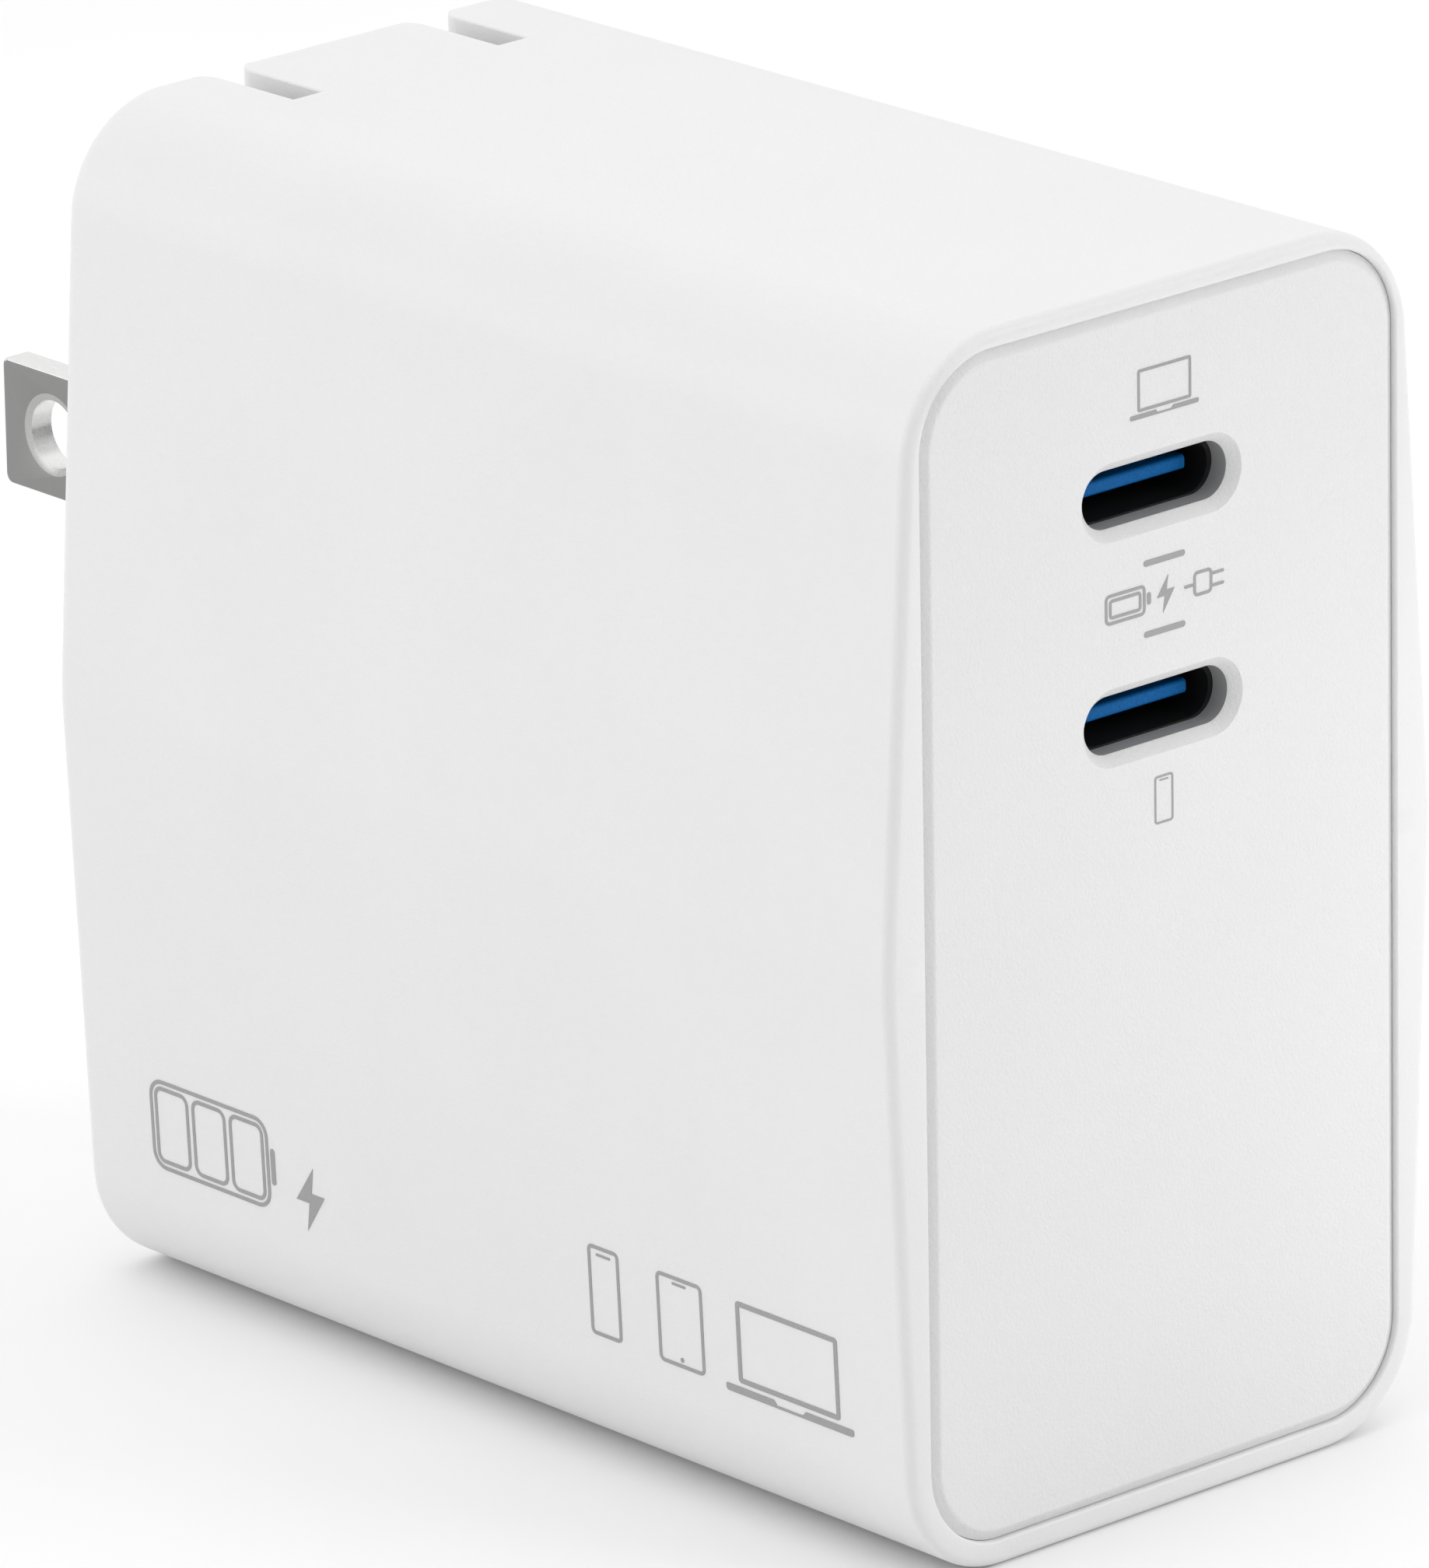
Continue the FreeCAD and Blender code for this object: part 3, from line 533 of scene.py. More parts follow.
def make_panel():
    """The front panel: face, rolled edge, slope, flange behind the groove, skirt and port openings."""
    bm = bmesh.new()

    def level(grow, radius, y):
        """The panel's outline at y, grown on all sides."""
        shape = rectangle(PANEL_WIDTH / 2 + grow, PANEL_HEIGHT / 2 + grow, radius, (0, PANEL_MIDDLE))
        return ring(bm, shape, y)

    face_rings = []
    for lean in leans(EDGE_STEPS, EDGE_LEAN):
        inset = PANEL_EDGE * (1 - math.sin(lean))
        face_rings.append(level(-inset, PANEL_RADIUS - inset, FRONT + PANEL_EDGE * (1 - math.cos(lean))))
    slope = GROOVE_DEPTH - PANEL_EDGE * math.tan(EDGE_LEAN / 2) - GROOVE_FLAT
    flange = GROOVE - FLANGE_GAP
    bore = SKIRT_INSET + SKIRT_WALL
    back = FRONT + PANEL_THICKNESS
    skirt_end = back + SKIRT_LENGTH
    body_rings = [level(slope, PANEL_RADIUS + slope, FRONT + GROOVE_DEPTH - GROOVE_FLAT),
                  level(flange, PANEL_RADIUS + flange, FRONT + GROOVE_DEPTH),
                  level(flange, PANEL_RADIUS + flange, back),
                  level(-SKIRT_INSET, SKIRT_RADIUS, back),
                  level(-SKIRT_INSET, SKIRT_RADIUS, skirt_end),
                  level(-bore, SKIRT_BORE_RADIUS, skirt_end),
                  level(-bore, SKIRT_BORE_RADIUS, back)]
    chain(bm, face_rings + body_rings)
    front_holes, back_holes = [], []
    for z in PORT_HEIGHTS:
        lips = [ring(bm, port_outline(z, PORT_LIP), FRONT), ring(bm, port_outline(z, 0), FRONT + PORT_LIP)]
        # The seat holds the grey collar, which is painted shade on the port's wall.
        seat = [ring(bm, port_outline(z, COLLAR_WALL + COLLAR_GAP), y)
                for y in (FRONT + PORT_LIP, FRONT + PORT_STEP)]
        room = [ring(bm, room_outline(z), y) for y in (FRONT + PORT_STEP, back)]
        chain(bm, lips + seat + room)
        front_holes.append(lips[0])
        back_holes.append(room[-1])
    fill(bm, [face_rings[0]] + front_holes)
    fill(bm, [body_rings[-1]] + back_holes)
    panel = new_object("panel", bm, MM)
    smooth(panel)
    return panel


# ---------------------------------------------------------------- blades

def blade_outline():
    """The blade from the side: tip, shank, and the narrow tail that reaches its spring."""
    tip = REAR + BLADE_REACH
    high = BLADE_Z + BLADE_WIDTH / 2
    low = BLADE_Z - BLADE_WIDTH / 2
    root = PIVOT.y - BLADE_ROOT
    tail = PIVOT.y - TAIL_REACH
    corners = [(tip, high, BLADE_TIP), (tip, low, BLADE_TIP), (root, low, BLADE_ROOT_RADIUS),
               (root, BLADE_Z - TAIL_HALF, 0), (tail, BLADE_Z - TAIL_HALF, TAIL_RADIUS),
               (tail, BLADE_Z + TAIL_HALF, TAIL_RADIUS), (root, BLADE_Z + TAIL_HALF, 0),
               (root, high, BLADE_ROOT_RADIUS)]
    return rounded(corners, BLADE_STEPS)


def inset_outline(outline, along, across):
    """An outline moved inwards by one distance where it faces along u and another where it faces v."""
    points = []
    for index, here in enumerate(outline):
        before = outline[index - 1]
        after = outline[(index + 1) % len(outline)]
        way = (here - before).normalized() + (after - here).normalized()
        facing = Vector((-way.y, way.x)).normalized()
        points.append(Vector((here.x - facing.x * along, here.y - facing.y * across)))
    return points


def blade_hole(bm, x):
    """The rings of a blade's hole, with a countersink at each end."""
    half = BLADE_THICKNESS / 2
    rings = []
    for depth, radius in ((-half, HOLE_RADIUS + SINK_WIDTH), (-half + SINK_DEPTH, HOLE_RADIUS),
                          (half - SINK_DEPTH, HOLE_RADIUS), (half, HOLE_RADIUS + SINK_WIDTH)):
        circle = []
        for step in range(HOLE_STEPS):
            angle = 2 * math.pi * step / HOLE_STEPS
            circle.append(bm.verts.new((x + depth, REAR + HOLE_REACH + radius * math.cos(angle),
                                        BLADE_Z + radius * math.sin(angle))))
        rings.append(circle)
    return rings


def paint_light_and_finish_blade(blade, x):
    """Give a blade's faces their finish and painted light: 0 flat sides and the edges that don't face up (painted
    shade on those edges), 1 upper edges (painted highlight) and hole wall, 2 countersinks.
    """
    centre = Vector((x, REAR + HOLE_REACH, BLADE_Z)) * MM
    for face in blade.data.polygons:
        sideways = abs(face.normal.x)
        if (face.center - centre).length < (HOLE_RADIUS + SINK_ZONE) * MM and sideways <= FLAT_SIDE:
            face.material_index = 1 if sideways < HOLE_WALL else 2
        else:
            face.material_index = 1 if face.normal.z > UPPER_EDGE else 0


def make_blade(name, x, *finishes):
    """One blade, with rolled edges, a tapered tip and a countersunk hole."""
    bm = bmesh.new()
    outline = blade_outline()
    half = BLADE_THICKNESS / 2
    rings = []
    for side, angles in ((-1, leans(ROLL_STEPS)), (1, reversed(leans(ROLL_STEPS)))):
        for angle in angles:
            left = 1 - math.sin(angle)
            points = inset_outline(outline, BLADE_TAPER * left, BLADE_EDGE * left)
            depth = x + side * (half - BLADE_EDGE * (1 - math.cos(angle)))
            rings.append([bm.verts.new((depth, point.x, point.y)) for point in points])
    chain(bm, rings)
    hole = blade_hole(bm, x)
    chain(bm, hole)
    fill(bm, [rings[0], hole[0]])
    fill(bm, [rings[-1], hole[-1]])
    blade = new_object(name, bm, MM)
    assign(blade, *finishes)
    paint_light_and_finish_blade(blade, x)
    smooth(blade, BLADE_SHARP)
    return blade


# ---------------------------------------------------------------- printed pictograms

INK = 0.02
LINE = 0.19
FRONT_LINE = 0.14
CHARGE_LINE = 0.15
FINE_SHARE = 0.7
PHONE_RADIUS = 0.32
TABLET_RADIUS = 0.35
BUTTON = 0.12
LEAST_RADIUS = 0.02
ROUND_LEFT = 0.001
PRINT_STEPS = 6
DASH_STEPS = 8
BASE_STEPS = 5

# Heights of the front's marks: over the upper port, under the lower one, and over their middle.
LAPTOP_RISE = 4.85
PHONE_DROP = 4.07
CHARGE_RISE = 0.3
DASH_RISE = 1.68


def front_place(u, v, lift):
    """A point of the panel's face, lifted off it."""
    return Vector((u, FRONT - lift, v))


def side_place(u, v, lift):
    """A point of the flat lower part of the left side, at depth u and height v, lifted off it."""
    slope = (RIDGE_HALF - BASE_HALF) / RIDGE_Z
    draft = REAR_WIDENING / DEPTH
    x = -(BASE_HALF + slope * v + draft * (u - FRONT))
    return Vector((x, u, v)) + Vector((-1.0, -draft, -slope)).normalized() * lift


def ink_rings(bm, outline, place):
    """An outline just under the surface and just over it."""
    return [[bm.verts.new(place(point[0], point[1], lift)) for point in outline] for lift in (-INK, INK)]


def patch(bm, outline, place):
    """A filled patch of ink."""
    under, over = ink_rings(bm, outline, place)
    bridge(bm, under, over)
    bm.faces.new(under)
    bm.faces.new(over)


def band(bm, middle, size, radius, place, width=LINE):
    """A rounded rectangle drawn as an even line, measured to the outside of the line."""
    half_u, half_v = size[0] / 2, size[1] / 2
    outer = ink_rings(bm, rectangle(half_u, half_v, radius, middle, PRINT_STEPS), place)
    inside = rectangle(half_u - width, half_v - width, max(radius - width, LEAST_RADIUS), middle,
                       PRINT_STEPS)
    inner = ink_rings(bm, inside, place)
    chain(bm, [outer[0], outer[1], inner[1], inner[0], outer[0]])


def dash(bm, middle, length, width, place):
    """A short line with round ends."""
    radius = min(length, width) / 2 - ROUND_LEFT
    patch(bm, rectangle(length / 2, width / 2, radius, middle, DASH_STEPS), place)


def phone(bm, middle, size, place, width=LINE, radius=PHONE_RADIUS):
    """A phone: its outline and the slot of its speaker."""
    band(bm, middle, size, radius, place, width)
    speaker = (middle[0], middle[1] + size[1] * 0.4)
    dash(bm, speaker, size[0] * 0.46, width * FINE_SHARE, place)


def tablet(bm, middle, size, place):
    """A tablet: its outline, the slot of its speaker and its round button."""
    band(bm, middle, size, TABLET_RADIUS, place)
    speaker = (middle[0], middle[1] + size[1] * 0.415)
    dash(bm, speaker, size[0] * 0.3, LINE * FINE_SHARE, place)
    home = (middle[0], middle[1] - size[1] * 0.41)
    patch(bm, rectangle(BUTTON, BUTTON, BUTTON - ROUND_LEFT, home, PRINT_STEPS), place)


def laptop(bm, middle, size, place, width, base_drop, base_length, base_height):
    """An open laptop from the front: a screen, and a base with a notch in its upper edge."""
    band(bm, middle, size, width * 0.8, place, width)
    u = middle[0]
    top = middle[1] - size[1] / 2 - base_drop
    low = top - base_height
    half = base_length / 2
    notch = base_length * 0.1
    notch_top = notch + base_length * 0.025
    notch_floor = top - base_height * 0.62
    low_corner = base_height * 0.45
    top_corner = low_corner * 0.6
    corners = [(u + half, top, top_corner), (u + half, low, low_corner), (u - half, low, low_corner),
               (u - half, top, top_corner), (u - notch_top, top, 0), (u - notch, notch_floor, 0),
               (u + notch, notch_floor, 0), (u + notch_top, top, 0)]
    patch(bm, rounded(corners, BASE_STEPS), place)


def bolt(bm, middle, height, place, flip=1):
    """A charging bolt, drawn in a box from -1 to 1."""
    shape = ((0.18, 1.0), (-0.62, -0.12), (-0.06, -0.12), (-0.2, -1.0), (0.62, 0.2), (0.06, 0.2))
    outline = [(middle[0] + flip * u * height * 0.5, middle[1] + v * height * 0.5) for u, v in shape]
    patch(bm, outline, place)


def battery(bm, middle, size, place, flip, width, cells):
    """A battery with its terminal and its cells drawn as lines."""
    band(bm, middle, size, size[1] * 0.2, place, width)
    end = middle[0] + flip * (size[0] / 2 + width * 1.4)
    dash(bm, (end, middle[1]), width * 1.6, size[1] * 0.4, place)
    margin = width * 1.7
    gap = margin * 0.7
    room = size[0] - 2 * margin
    height = size[1] - 2 * margin
    cell = (room - (cells - 1) * gap) / cells
    for index in range(cells):
        u = middle[0] - room / 2 + cell / 2 + index * (cell + gap)
        band(bm, (u, middle[1]), (cell, height), min(cell, height) * 0.22, place, width)


def plug(bm, middle, size, place, width):
    """A two-pin plug with a stub of its lead."""
    u, v = middle
    body = (size[0] * 0.45, size[1])
    pin = size[0] * 0.28
    lead = size[0] * 0.22
    band(bm, middle, body, size[1] * 0.22, place, width)
    for side in (-1, 1):
        dash(bm, (u + (body[0] + pin) / 2, v + side * size[1] * 0.24), pin, width, place)
    dash(bm, (u - (body[0] + lead) / 2, v), lead, width, place)


def printed(name, draw):
    """A piece of ink that rides on the body."""
    bm = bmesh.new()
    draw(bm)
    piece = new_object(name, bm, MM)
    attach(piece, "charger_body")
    return piece


def draw_charge_marks(bm, z):
    """The row of marks between the ports: a battery, a bolt and a plug."""
    battery(bm, (-2.3, z), (2.5, 1.45), front_place, flip=1, width=CHARGE_LINE, cells=1)
    bolt(bm, (0.2, z), 1.75, front_place)
    plug(bm, (2.5, z), (2.6, 1.2), front_place, CHARGE_LINE)


def draw_dashes(bm, z):
    """The two dashes above and below the row of marks."""
    for side in (-1, 1):
        dash(bm, (0.12, z + side * DASH_RISE), 2.55, 0.29, front_place)


def make_prints():
    """All pictograms of the front and the left side, each by its middle and size."""
    upper, lower = PORT_HEIGHTS
    between = (upper + lower) / 2 + CHARGE_RISE
    return [
        printed("front_laptop_print", lambda bm: laptop(
            bm, (0.2, upper + LAPTOP_RISE), (3.3, 1.99), front_place, FRONT_LINE,
            base_drop=0.1, base_length=4.22, base_height=0.22)),
        printed("front_phone_print", lambda bm: phone(
            bm, (0, lower - PHONE_DROP), (1.16, 2.3), front_place, width=0.1, radius=0.18)),
        printed("front_dash_prints", lambda bm: draw_dashes(bm, between)),
        printed("front_charge_prints", lambda bm: draw_charge_marks(bm, between)),
        printed("side_phone_print", lambda bm: phone(bm, (-8.41, 9.2), (2.14, 4.5), side_place)),
        printed("side_tablet_print", lambda bm: tablet(bm, (-13.6, 9.15), (3.14, 4.48), side_place)),
        printed("side_laptop_print", lambda bm: laptop(
            bm, (-20.88, 9.33), (6.85, 4.05), side_place, width=0.26,
            base_drop=0.2, base_length=8.6, base_height=0.37)),
        printed("side_battery_print", lambda bm: battery(
            bm, (19.6, 9.15), (8.6, 4.6), side_place, flip=-1, width=0.2, cells=3)),
        printed("side_bolt_print", lambda bm: bolt(bm, (12.4, 8.2), 3.3, side_place, flip=-1)),
    ]


# ---------------------------------------------------------------- materials

# How far a surface's roughness swings each way, the least dark tone of a blotch, and sizes in
# millimetres of a moulding's blotches and of the depth that light reaches in it.
MOULDED_SWING = 0.05
BRUSHED_SWING = 0.07
BLOTCH_SIZE = 9.0
BLOTCH_TONE = 0.985
GRAIN_TONE = 0.9
GLOW_DEPTH = 0.8


def new_material(name, roughness, metallic=0.0):
    """A material with its node tree and its surface shader."""
    material = bpy.data.materials.new(name)
    material.use_nodes = True
    tree = material.node_tree
    surface = tree.nodes["Principled BSDF"]
    surface.inputs["Roughness"].default_value = roughness
    surface.inputs["Metallic"].default_value = metallic
    return material, tree, surface


def noise(tree, size, detail=2.0, stretch=(1, 1, 1), roughness=0.5):
    """Noise with features of a size in millimetres, stretched along the part's axes."""
    coordinates = tree.nodes.new("ShaderNodeTexCoord")
    mapping = tree.nodes.new("ShaderNodeMapping")
    mapping.inputs["Scale"].default_value = [1 / part for part in stretch]
    texture = tree.nodes.new("ShaderNodeTexNoise")
    texture.inputs["Scale"].default_value = 1 / (size * MM)
    texture.inputs["Detail"].default_value = detail
    texture.inputs["Roughness"].default_value = roughness
    tree.links.new(coordinates.outputs["Object"], mapping.inputs["Vector"])
    tree.links.new(mapping.outputs["Vector"], texture.inputs["Vector"])
    return texture.outputs["Fac"]


def spread(tree, value, low, high, start=0.3, end=0.7):
    """Stretch a value that runs from start to end into the range from low to high."""
    node = tree.nodes.new("ShaderNodeMapRange")
    for name, setting in (("From Min", start), ("From Max", end), ("To Min", low), ("To Max", high)):
        node.inputs[name].default_value = setting
    tree.links.new(value, node.inputs["Value"])
    return node.outputs["Result"]


def tint(tree, surface, value, first, second):
    """Colour the surface between two colours by a value."""
    mix = tree.nodes.new("ShaderNodeMix")
    mix.data_type = "RGBA"
    mix.inputs["A"].default_value = (*first, 1)
    mix.inputs["B"].default_value = (*second, 1)
    tree.links.new(value, mix.inputs["Factor"])
    tree.links.new(mix.outputs["Result"], surface.inputs["Base Color"])


def relief(tree, surface, value, height):
    """Bump of a height in millimetres."""
    node = tree.nodes.new("ShaderNodeBump")
    node.inputs["Distance"].default_value = height * MM
    node.inputs["Strength"].default_value = 1.0
    tree.links.new(value, node.inputs["Height"])
    tree.links.new(node.outputs["Normal"], surface.inputs["Normal"])


def moulded(name, color, roughness, grain, height, glow=0.0):
    """Moulded plastic with a fine eroded texture and a slight unevenness of tone."""
    material, tree, surface = new_material(name, roughness)
    blotches = spread(tree, noise(tree, BLOTCH_SIZE, detail=3.0), 0, 1)
    tint(tree, surface, blotches, color, [part * BLOTCH_TONE for part in color])
    fine = noise(tree, grain, detail=3.0, roughness=0.6)
    tree.links.new(spread(tree, fine, roughness - MOULDED_SWING, roughness + MOULDED_SWING),
                   surface.inputs["Roughness"])
    relief(tree, surface, fine, height)
    surface.inputs["Subsurface Weight"].default_value = glow
    surface.inputs["Subsurface Radius"].default_value = (1.0, 1.0, 1.0)
    surface.inputs["Subsurface Scale"].default_value = GLOW_DEPTH * MM
    return material


def metal(name, color, roughness, grain, stretch, height, metallic=1.0):
    """Plated or rolled metal with grain drawn along one axis."""
    material, tree, surface = new_material(name, roughness, metallic)
    brushed = noise(tree, grain, detail=4.0, stretch=stretch, roughness=0.65)
    tint(tree, surface, spread(tree, brushed, 0, 1), [part * GRAIN_TONE for part in color], color)
    tree.links.new(spread(tree, brushed, roughness - BRUSHED_SWING, roughness + BRUSHED_SWING),
                   surface.inputs["Roughness"])
    relief(tree, surface, brushed, height)
    return material


def wound(name, dark, light, turn, height):
    """Enamelled wire, wound in even turns of a thickness in millimetres."""
    material, tree, surface = new_material(name, roughness=0.3, metallic=0.85)
    coordinates = tree.nodes.new("ShaderNodeTexCoord")
    wave = tree.nodes.new("ShaderNodeTexWave")
    wave.bands_direction = "Z"
    wave.inputs["Scale"].default_value = 1 / (turn * MM)
    wave.inputs["Distortion"].default_value = 0.4
    tree.links.new(coordinates.outputs["Object"], wave.inputs["Vector"])
    tint(tree, surface, wave.outputs["Fac"], dark, light)
    relief(tree, surface, wave.outputs["Fac"], height)
    return material


def speckled(name, first, second, roughness, size, height=0.004, metallic=0.0, specular=0.5):
    """A two-tone speckle, as in sintered, coated or laminated parts."""
    material, tree, surface = new_material(name, roughness, metallic)
    surface.inputs["Specular IOR Level"].default_value = specular
    value = noise(tree, size, detail=5.0, roughness=0.7)
    tint(tree, surface, spread(tree, value, 0, 1, start=0.35, end=0.65), first, second)
    relief(tree, surface, value, height)
    return material


def make_materials():
    """One material for each of the record's slots, and the ink.

    The numbers after the colours are the roughness, the size of the grain and the height of the bump,
    both in millimetres. A metal's grain is stretched along X, Y and Z between the last two.
    """
    white = (0.76, 0.76, 0.76)
    even = (1, 1, 1)
    along_y = (1, 14, 1)
    along_z = (1, 1, 14)
    return {
        "shell_plastic": moulded("white_shell", white, 0.42, 0.17, 0.024, glow=0.15),
        "panel_plastic": moulded("white_panel", white, 0.5, 0.15, 0.05, glow=0.1),
        # The collar's grey is painted shade on the ports' walls.
        "collar": moulded("painted_shade_grey", (0.36, 0.36, 0.36), 0.45, 0.12, 0.006),
        "rotor_plastic": moulded("white_rotor", (0.76, 0.76, 0.755), 0.4, 0.14, 0.006),
        "bracket_plastic": speckled("glass_filled_black", (0.012, 0.012, 0.013), (0.03, 0.03, 0.032),
                                    0.5, 0.3),
        # The port shell's metal is near black.
        "port_metal": metal("near_black_port_steel", (0.03, 0.03, 0.031), 0.4, 0.06, even, 0.001,
                            metallic=0.6),
        "port_black": speckled("black_insulator", (0.006, 0.006, 0.006), (0.014, 0.014, 0.014), 0.45, 0.2),
        "tongue_blue": speckled("blue_tongue", (0.001, 0.10, 0.33), (0.003, 0.16, 0.48), 0.6, 0.07,
                                specular=0.15),
        "contact_gold": metal("gold_contacts", (0.82, 0.60, 0.24), 0.28, 0.08, along_y, 0.002),
        # The satin nickel is also painted shade on the blades' edges that don't face up, and the bright nickel is
        # also a painted highlight on their upper edges.
        "blade_nickel": metal("satin_and_painted_shade_nickel", (0.28, 0.28, 0.278), 0.42, 0.09, (1, 1.6, 1), 0.012),
        "blade_edge": metal("bright_and_painted_highlight_nickel", (0.80, 0.80, 0.795), 0.24, 0.1, (1, 6, 1), 0.003),
        "blade_sink": metal("turned_nickel", (0.46, 0.46, 0.457), 0.3, 0.1, even, 0.003),
        "spring_steel": metal("spring_steel", (0.58, 0.58, 0.58), 0.25, 0.12, along_y, 0.003),
        "contact_bronze": metal("phosphor_bronze", (0.70, 0.45, 0.25), 0.3, 0.12, along_z, 0.003),
        "board_green": speckled("solder_mask", (0.006, 0.09, 0.03), (0.012, 0.15, 0.05), 0.32, 0.8, 0.01),
        "ferrite": speckled("ferrite", (0.02, 0.02, 0.021), (0.05, 0.05, 0.052), 0.6, 0.25, 0.02,
                            metallic=0.2),
        "copper_wire": wound("copper_wire", (0.30, 0.10, 0.03), (0.72, 0.33, 0.14), turn=1.6, height=0.15),
        "yellow_plastic": speckled("yellow_film", (0.68, 0.45, 0.03), (0.78, 0.56, 0.06), 0.3, 2.0),
        "can_aluminium": metal("drawn_aluminium", (0.76, 0.77, 0.78), 0.32, 0.2, along_y, 0.004),
        "black_sleeve": speckled("shrink_sleeve", (0.008, 0.008, 0.012), (0.02, 0.02, 0.028), 0.25, 1.5),
        "seal_rubber": speckled("grey_rubber", (0.05, 0.05, 0.055), (0.09, 0.09, 0.095), 0.7, 0.3),
        "blue_coating": speckled("dipped_blue", (0.02, 0.09, 0.35), (0.04, 0.14, 0.45), 0.25, 1.2, 0.02),
        "fuse_ceramic": speckled("ceramic", (0.76, 0.74, 0.68), (0.84, 0.82, 0.77), 0.35, 0.8),
        "chip_black": speckled("moulded_epoxy", (0.012, 0.012, 0.012), (0.028, 0.028, 0.028), 0.55, 0.15),
        "insulating_film": speckled("clear_film", (0.68, 0.68, 0.62), (0.76, 0.76, 0.71), 0.2, 3.0),
        "ink": speckled("grey_ink", (0.30, 0.30, 0.30), (0.335, 0.335, 0.335), 0.5, 0.12, 0.003),
    }


def assign(piece, *finishes):
    """Give a piece its materials, in the order of its slots."""
    piece.data.materials.clear()
    for finish in finishes:
        piece.data.materials.append(finish)


# ---------------------------------------------------------------- camera, floor and light

# The camera stands round a point near the body's middle, and the softboxes aim at the same point.
CAMERA_AIM = Vector((-1.09, 0.38, 28.13)) * MM
CAMERA_DISTANCE = 723.91 * MM
CAMERA_AZIMUTH = math.radians(-41.616)
CAMERA_ELEVATION = math.radians(19.013)
CAMERA_ROLL = math.radians(-0.974)
CAMERA_LENS = 357.14
CAMERA_SENSOR = 36
CAMERA_NEAR = 0.01
CAMERA_FAR = 20
FLOOR_RADIUS = 4.0
FLOOR_STEPS = 96
FLOOR_BLOTCH = 30.0

# Strength of the sky at the horizon and overhead, and the share of it that is left in front.
SKY_HORIZON = 0.97
SKY_ZENITH = 1.16
SKY_FRONT = 0.15

# Each softbox: azimuth and elevation in degrees, distance and size in metres, power in watts.
SOFTBOXES = {"front_softbox": (32, 28, 0.9, (0.5, 0.5), 2.2),
             "top_softbox": (-60, 70, 0.9, (0.9, 0.7), 1.2),
             "side_softbox": (-120, 15, 0.5, (0.4, 0.2), 0.27),
             "low_softbox": (35, -9, 0.1, (0.05, 0.022), 0.009)}


def look(holder, at):
    """Turn an object's -Z towards a point."""
    direction = at - holder.location
    holder.rotation_mode = "QUATERNION"
    holder.rotation_quaternion = direction.to_track_quat("-Z", "Y")


def from_aim(azimuth, elevation, distance):
    """A point round the aim: azimuth 0 is in front of the ports, +90 to their right."""
    back = Vector((math.sin(azimuth) * math.cos(elevation), -math.cos(azimuth) * math.cos(elevation),
                   math.sin(elevation)))
    return CAMERA_AIM + back * distance


def make_camera():
    """A long lens that looks down at the front and the left side."""
    data = bpy.data.cameras.new("camera")
    data.lens = CAMERA_LENS
    data.sensor_width = CAMERA_SENSOR
    data.clip_start = CAMERA_NEAR
    data.clip_end = CAMERA_FAR
    camera = bpy.data.objects.new("camera", data)
    bpy.context.scene.collection.objects.link(camera)
    camera.location = from_aim(CAMERA_AZIMUTH, CAMERA_ELEVATION, CAMERA_DISTANCE)
    look(camera, CAMERA_AIM)
    camera.rotation_quaternion = camera.rotation_quaternion @ Quaternion((0, 0, 1), CAMERA_ROLL)
    bpy.context.scene.camera = camera


def softbox(name, azimuth, elevation, distance, size, power):
    """A soft rectangular light that points at the object and isn't seen itself."""
    data = bpy.data.lights.new(name, "AREA")
    data.shape = "RECTANGLE"
    data.size, data.size_y = size
    data.energy = power
    light = bpy.data.objects.new(name, data)
    bpy.context.scene.collection.objects.link(light)
    light.visible_camera = False
    light.location = from_aim(math.radians(azimuth), math.radians(elevation), distance)
    look(light, CAMERA_AIM)


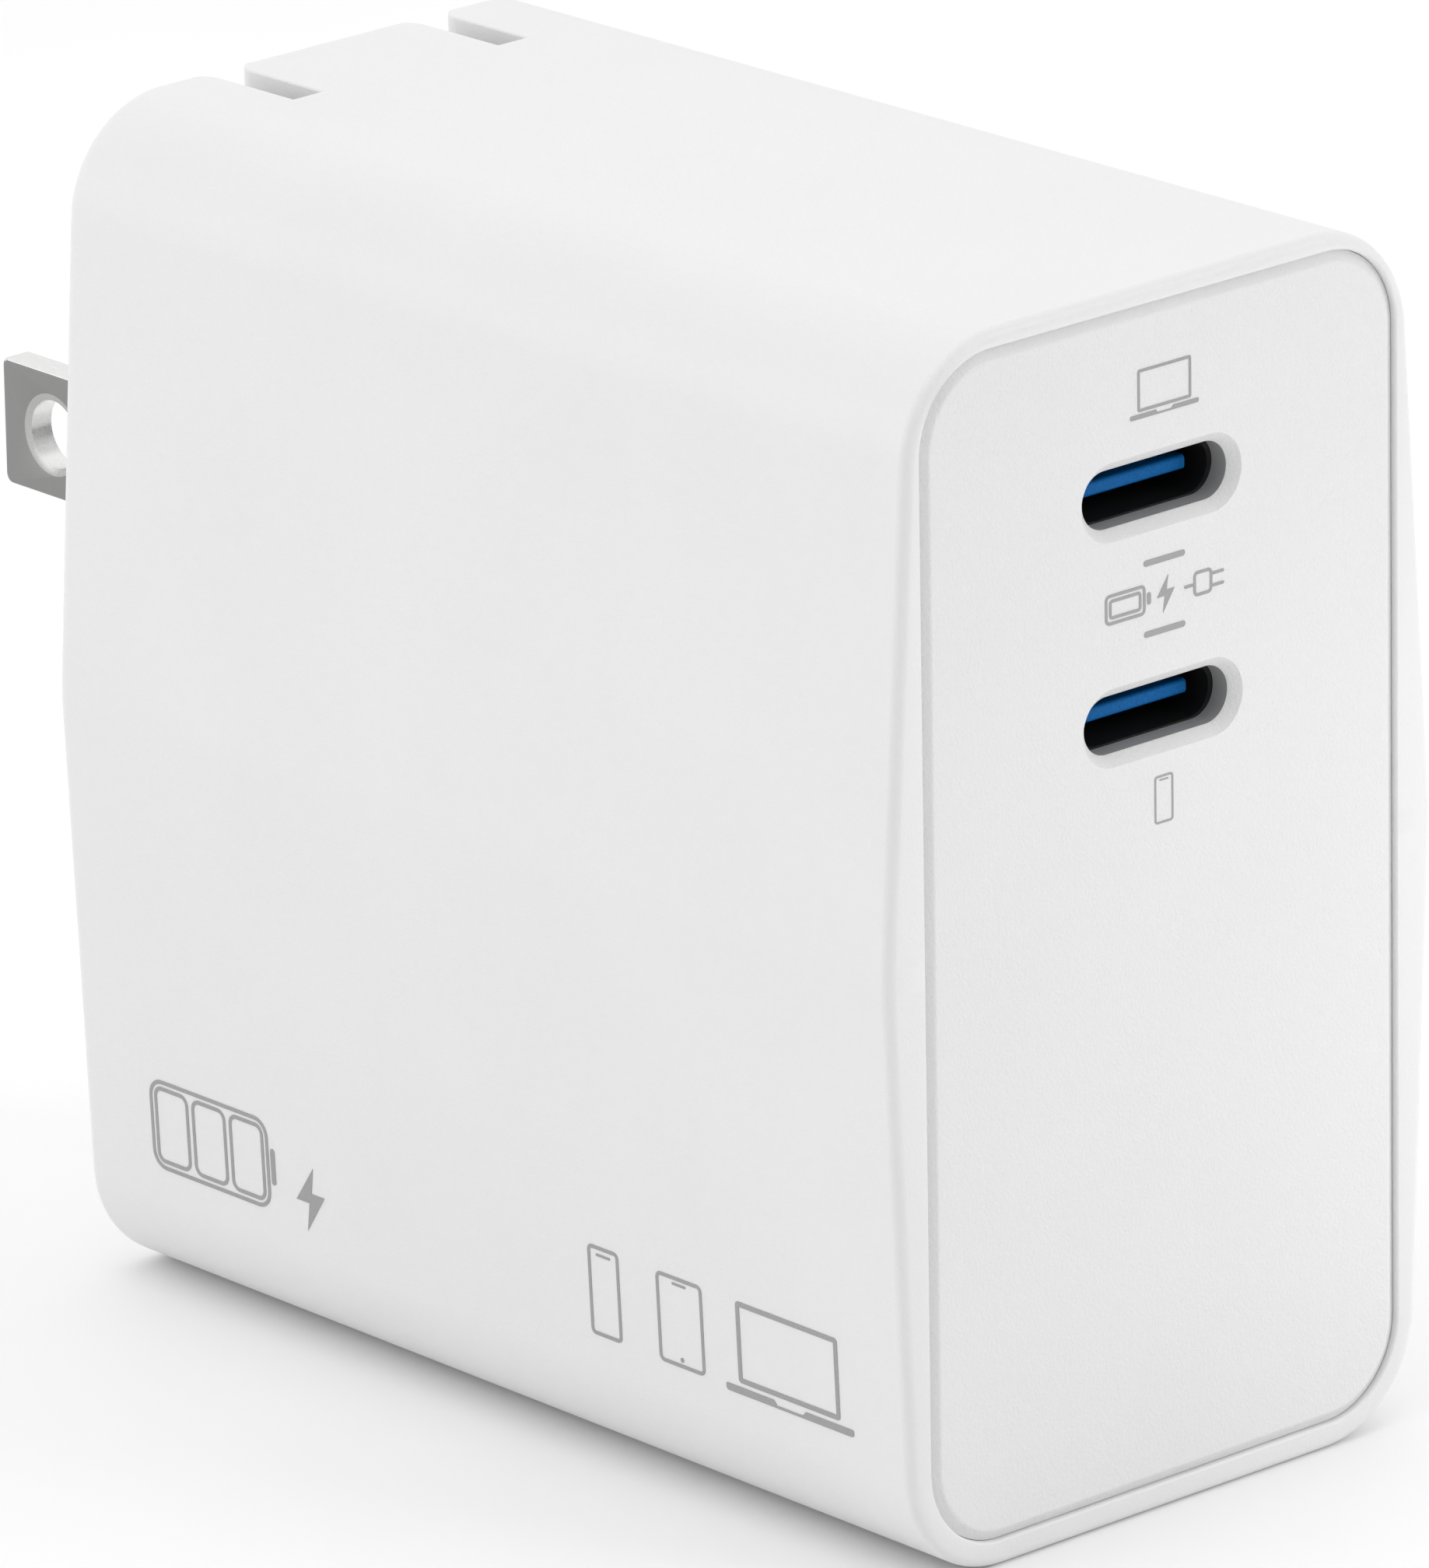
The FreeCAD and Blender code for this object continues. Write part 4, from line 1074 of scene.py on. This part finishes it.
def make_floor():
    """A round pale floor, faintly blotched like paper."""
    bm = bmesh.new()
    bmesh.ops.create_circle(bm, cap_ends=True, radius=FLOOR_RADIUS, segments=FLOOR_STEPS)
    floor = new_object("floor", bm)
    material, tree, surface = new_material("pale_paper", roughness=0.9)
    tint(tree, surface, spread(tree, noise(tree, FLOOR_BLOTCH), 0, 1), (0.90, 0.90, 0.90),
         (0.92, 0.92, 0.92))
    assign(floor, material)


def make_light():
    """An even pale sky, dimmer in front, and the softboxes."""
    world = bpy.data.worlds.new("studio")
    world.use_nodes = True
    tree = world.node_tree
    background = tree.nodes["Background"]
    background.inputs["Color"].default_value = (1, 1, 1, 1)
    coordinates = tree.nodes.new("ShaderNodeTexCoord")
    parts = tree.nodes.new("ShaderNodeSeparateXYZ")
    tree.links.new(coordinates.outputs["Generated"], parts.inputs["Vector"])
    sky = spread(tree, parts.outputs["Z"], SKY_HORIZON, SKY_ZENITH, start=0.0, end=1.0)
    dim = spread(tree, parts.outputs["Y"], SKY_FRONT, 1.0, start=-1.0, end=0.0)
    both = tree.nodes.new("ShaderNodeMath")
    both.operation = "MULTIPLY"
    tree.links.new(sky, both.inputs[0])
    tree.links.new(dim, both.inputs[1])
    tree.links.new(both.outputs["Value"], background.inputs["Strength"])
    bpy.context.scene.world = world
    for name, placing in SOFTBOXES.items():
        softbox(name, *placing)


bpy.context.scene.view_settings.view_transform = "Standard"

materials = make_materials()
slot_of = {part["node"]: part["material_slot"] for part in frame["record"]["subparts"]}
for node_name, node in frame["nodes"].items():
    assign(node, materials[slot_of[node_name]])

shell = make_shell()
assign(shell, materials["shell_plastic"])
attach(shell, "charger_body")
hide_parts("housing")

# Each port gets a grey collar of painted shade on its wall behind the lip.
for port, height in zip(("upper", "lower"), PORT_HEIGHTS):
    collar = make_shade_ring(port + "_port_shade_ring", height)
    assign(collar, materials["collar"])
    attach(collar, "charger_body")

# The blades' bright nickel is a painted highlight on their upper edges, and their darker nickel is painted shade
# on the other edges.
for side, across in (("left", -1), ("right", 1)):
    blade = make_blade(side + "_blade_plate", across * BLADE_SPACING / 2,
                       materials["blade_nickel"], materials["blade_edge"], materials["blade_sink"])
    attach(blade, "folding_blades")
    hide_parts(side + "_blade")

panel = make_panel()
assign(panel, materials["panel_plastic"])
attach(panel, "charger_body")
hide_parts("front_panel")

for mark in make_prints():
    assign(mark, materials["ink"])

make_floor()
make_light()
make_camera()
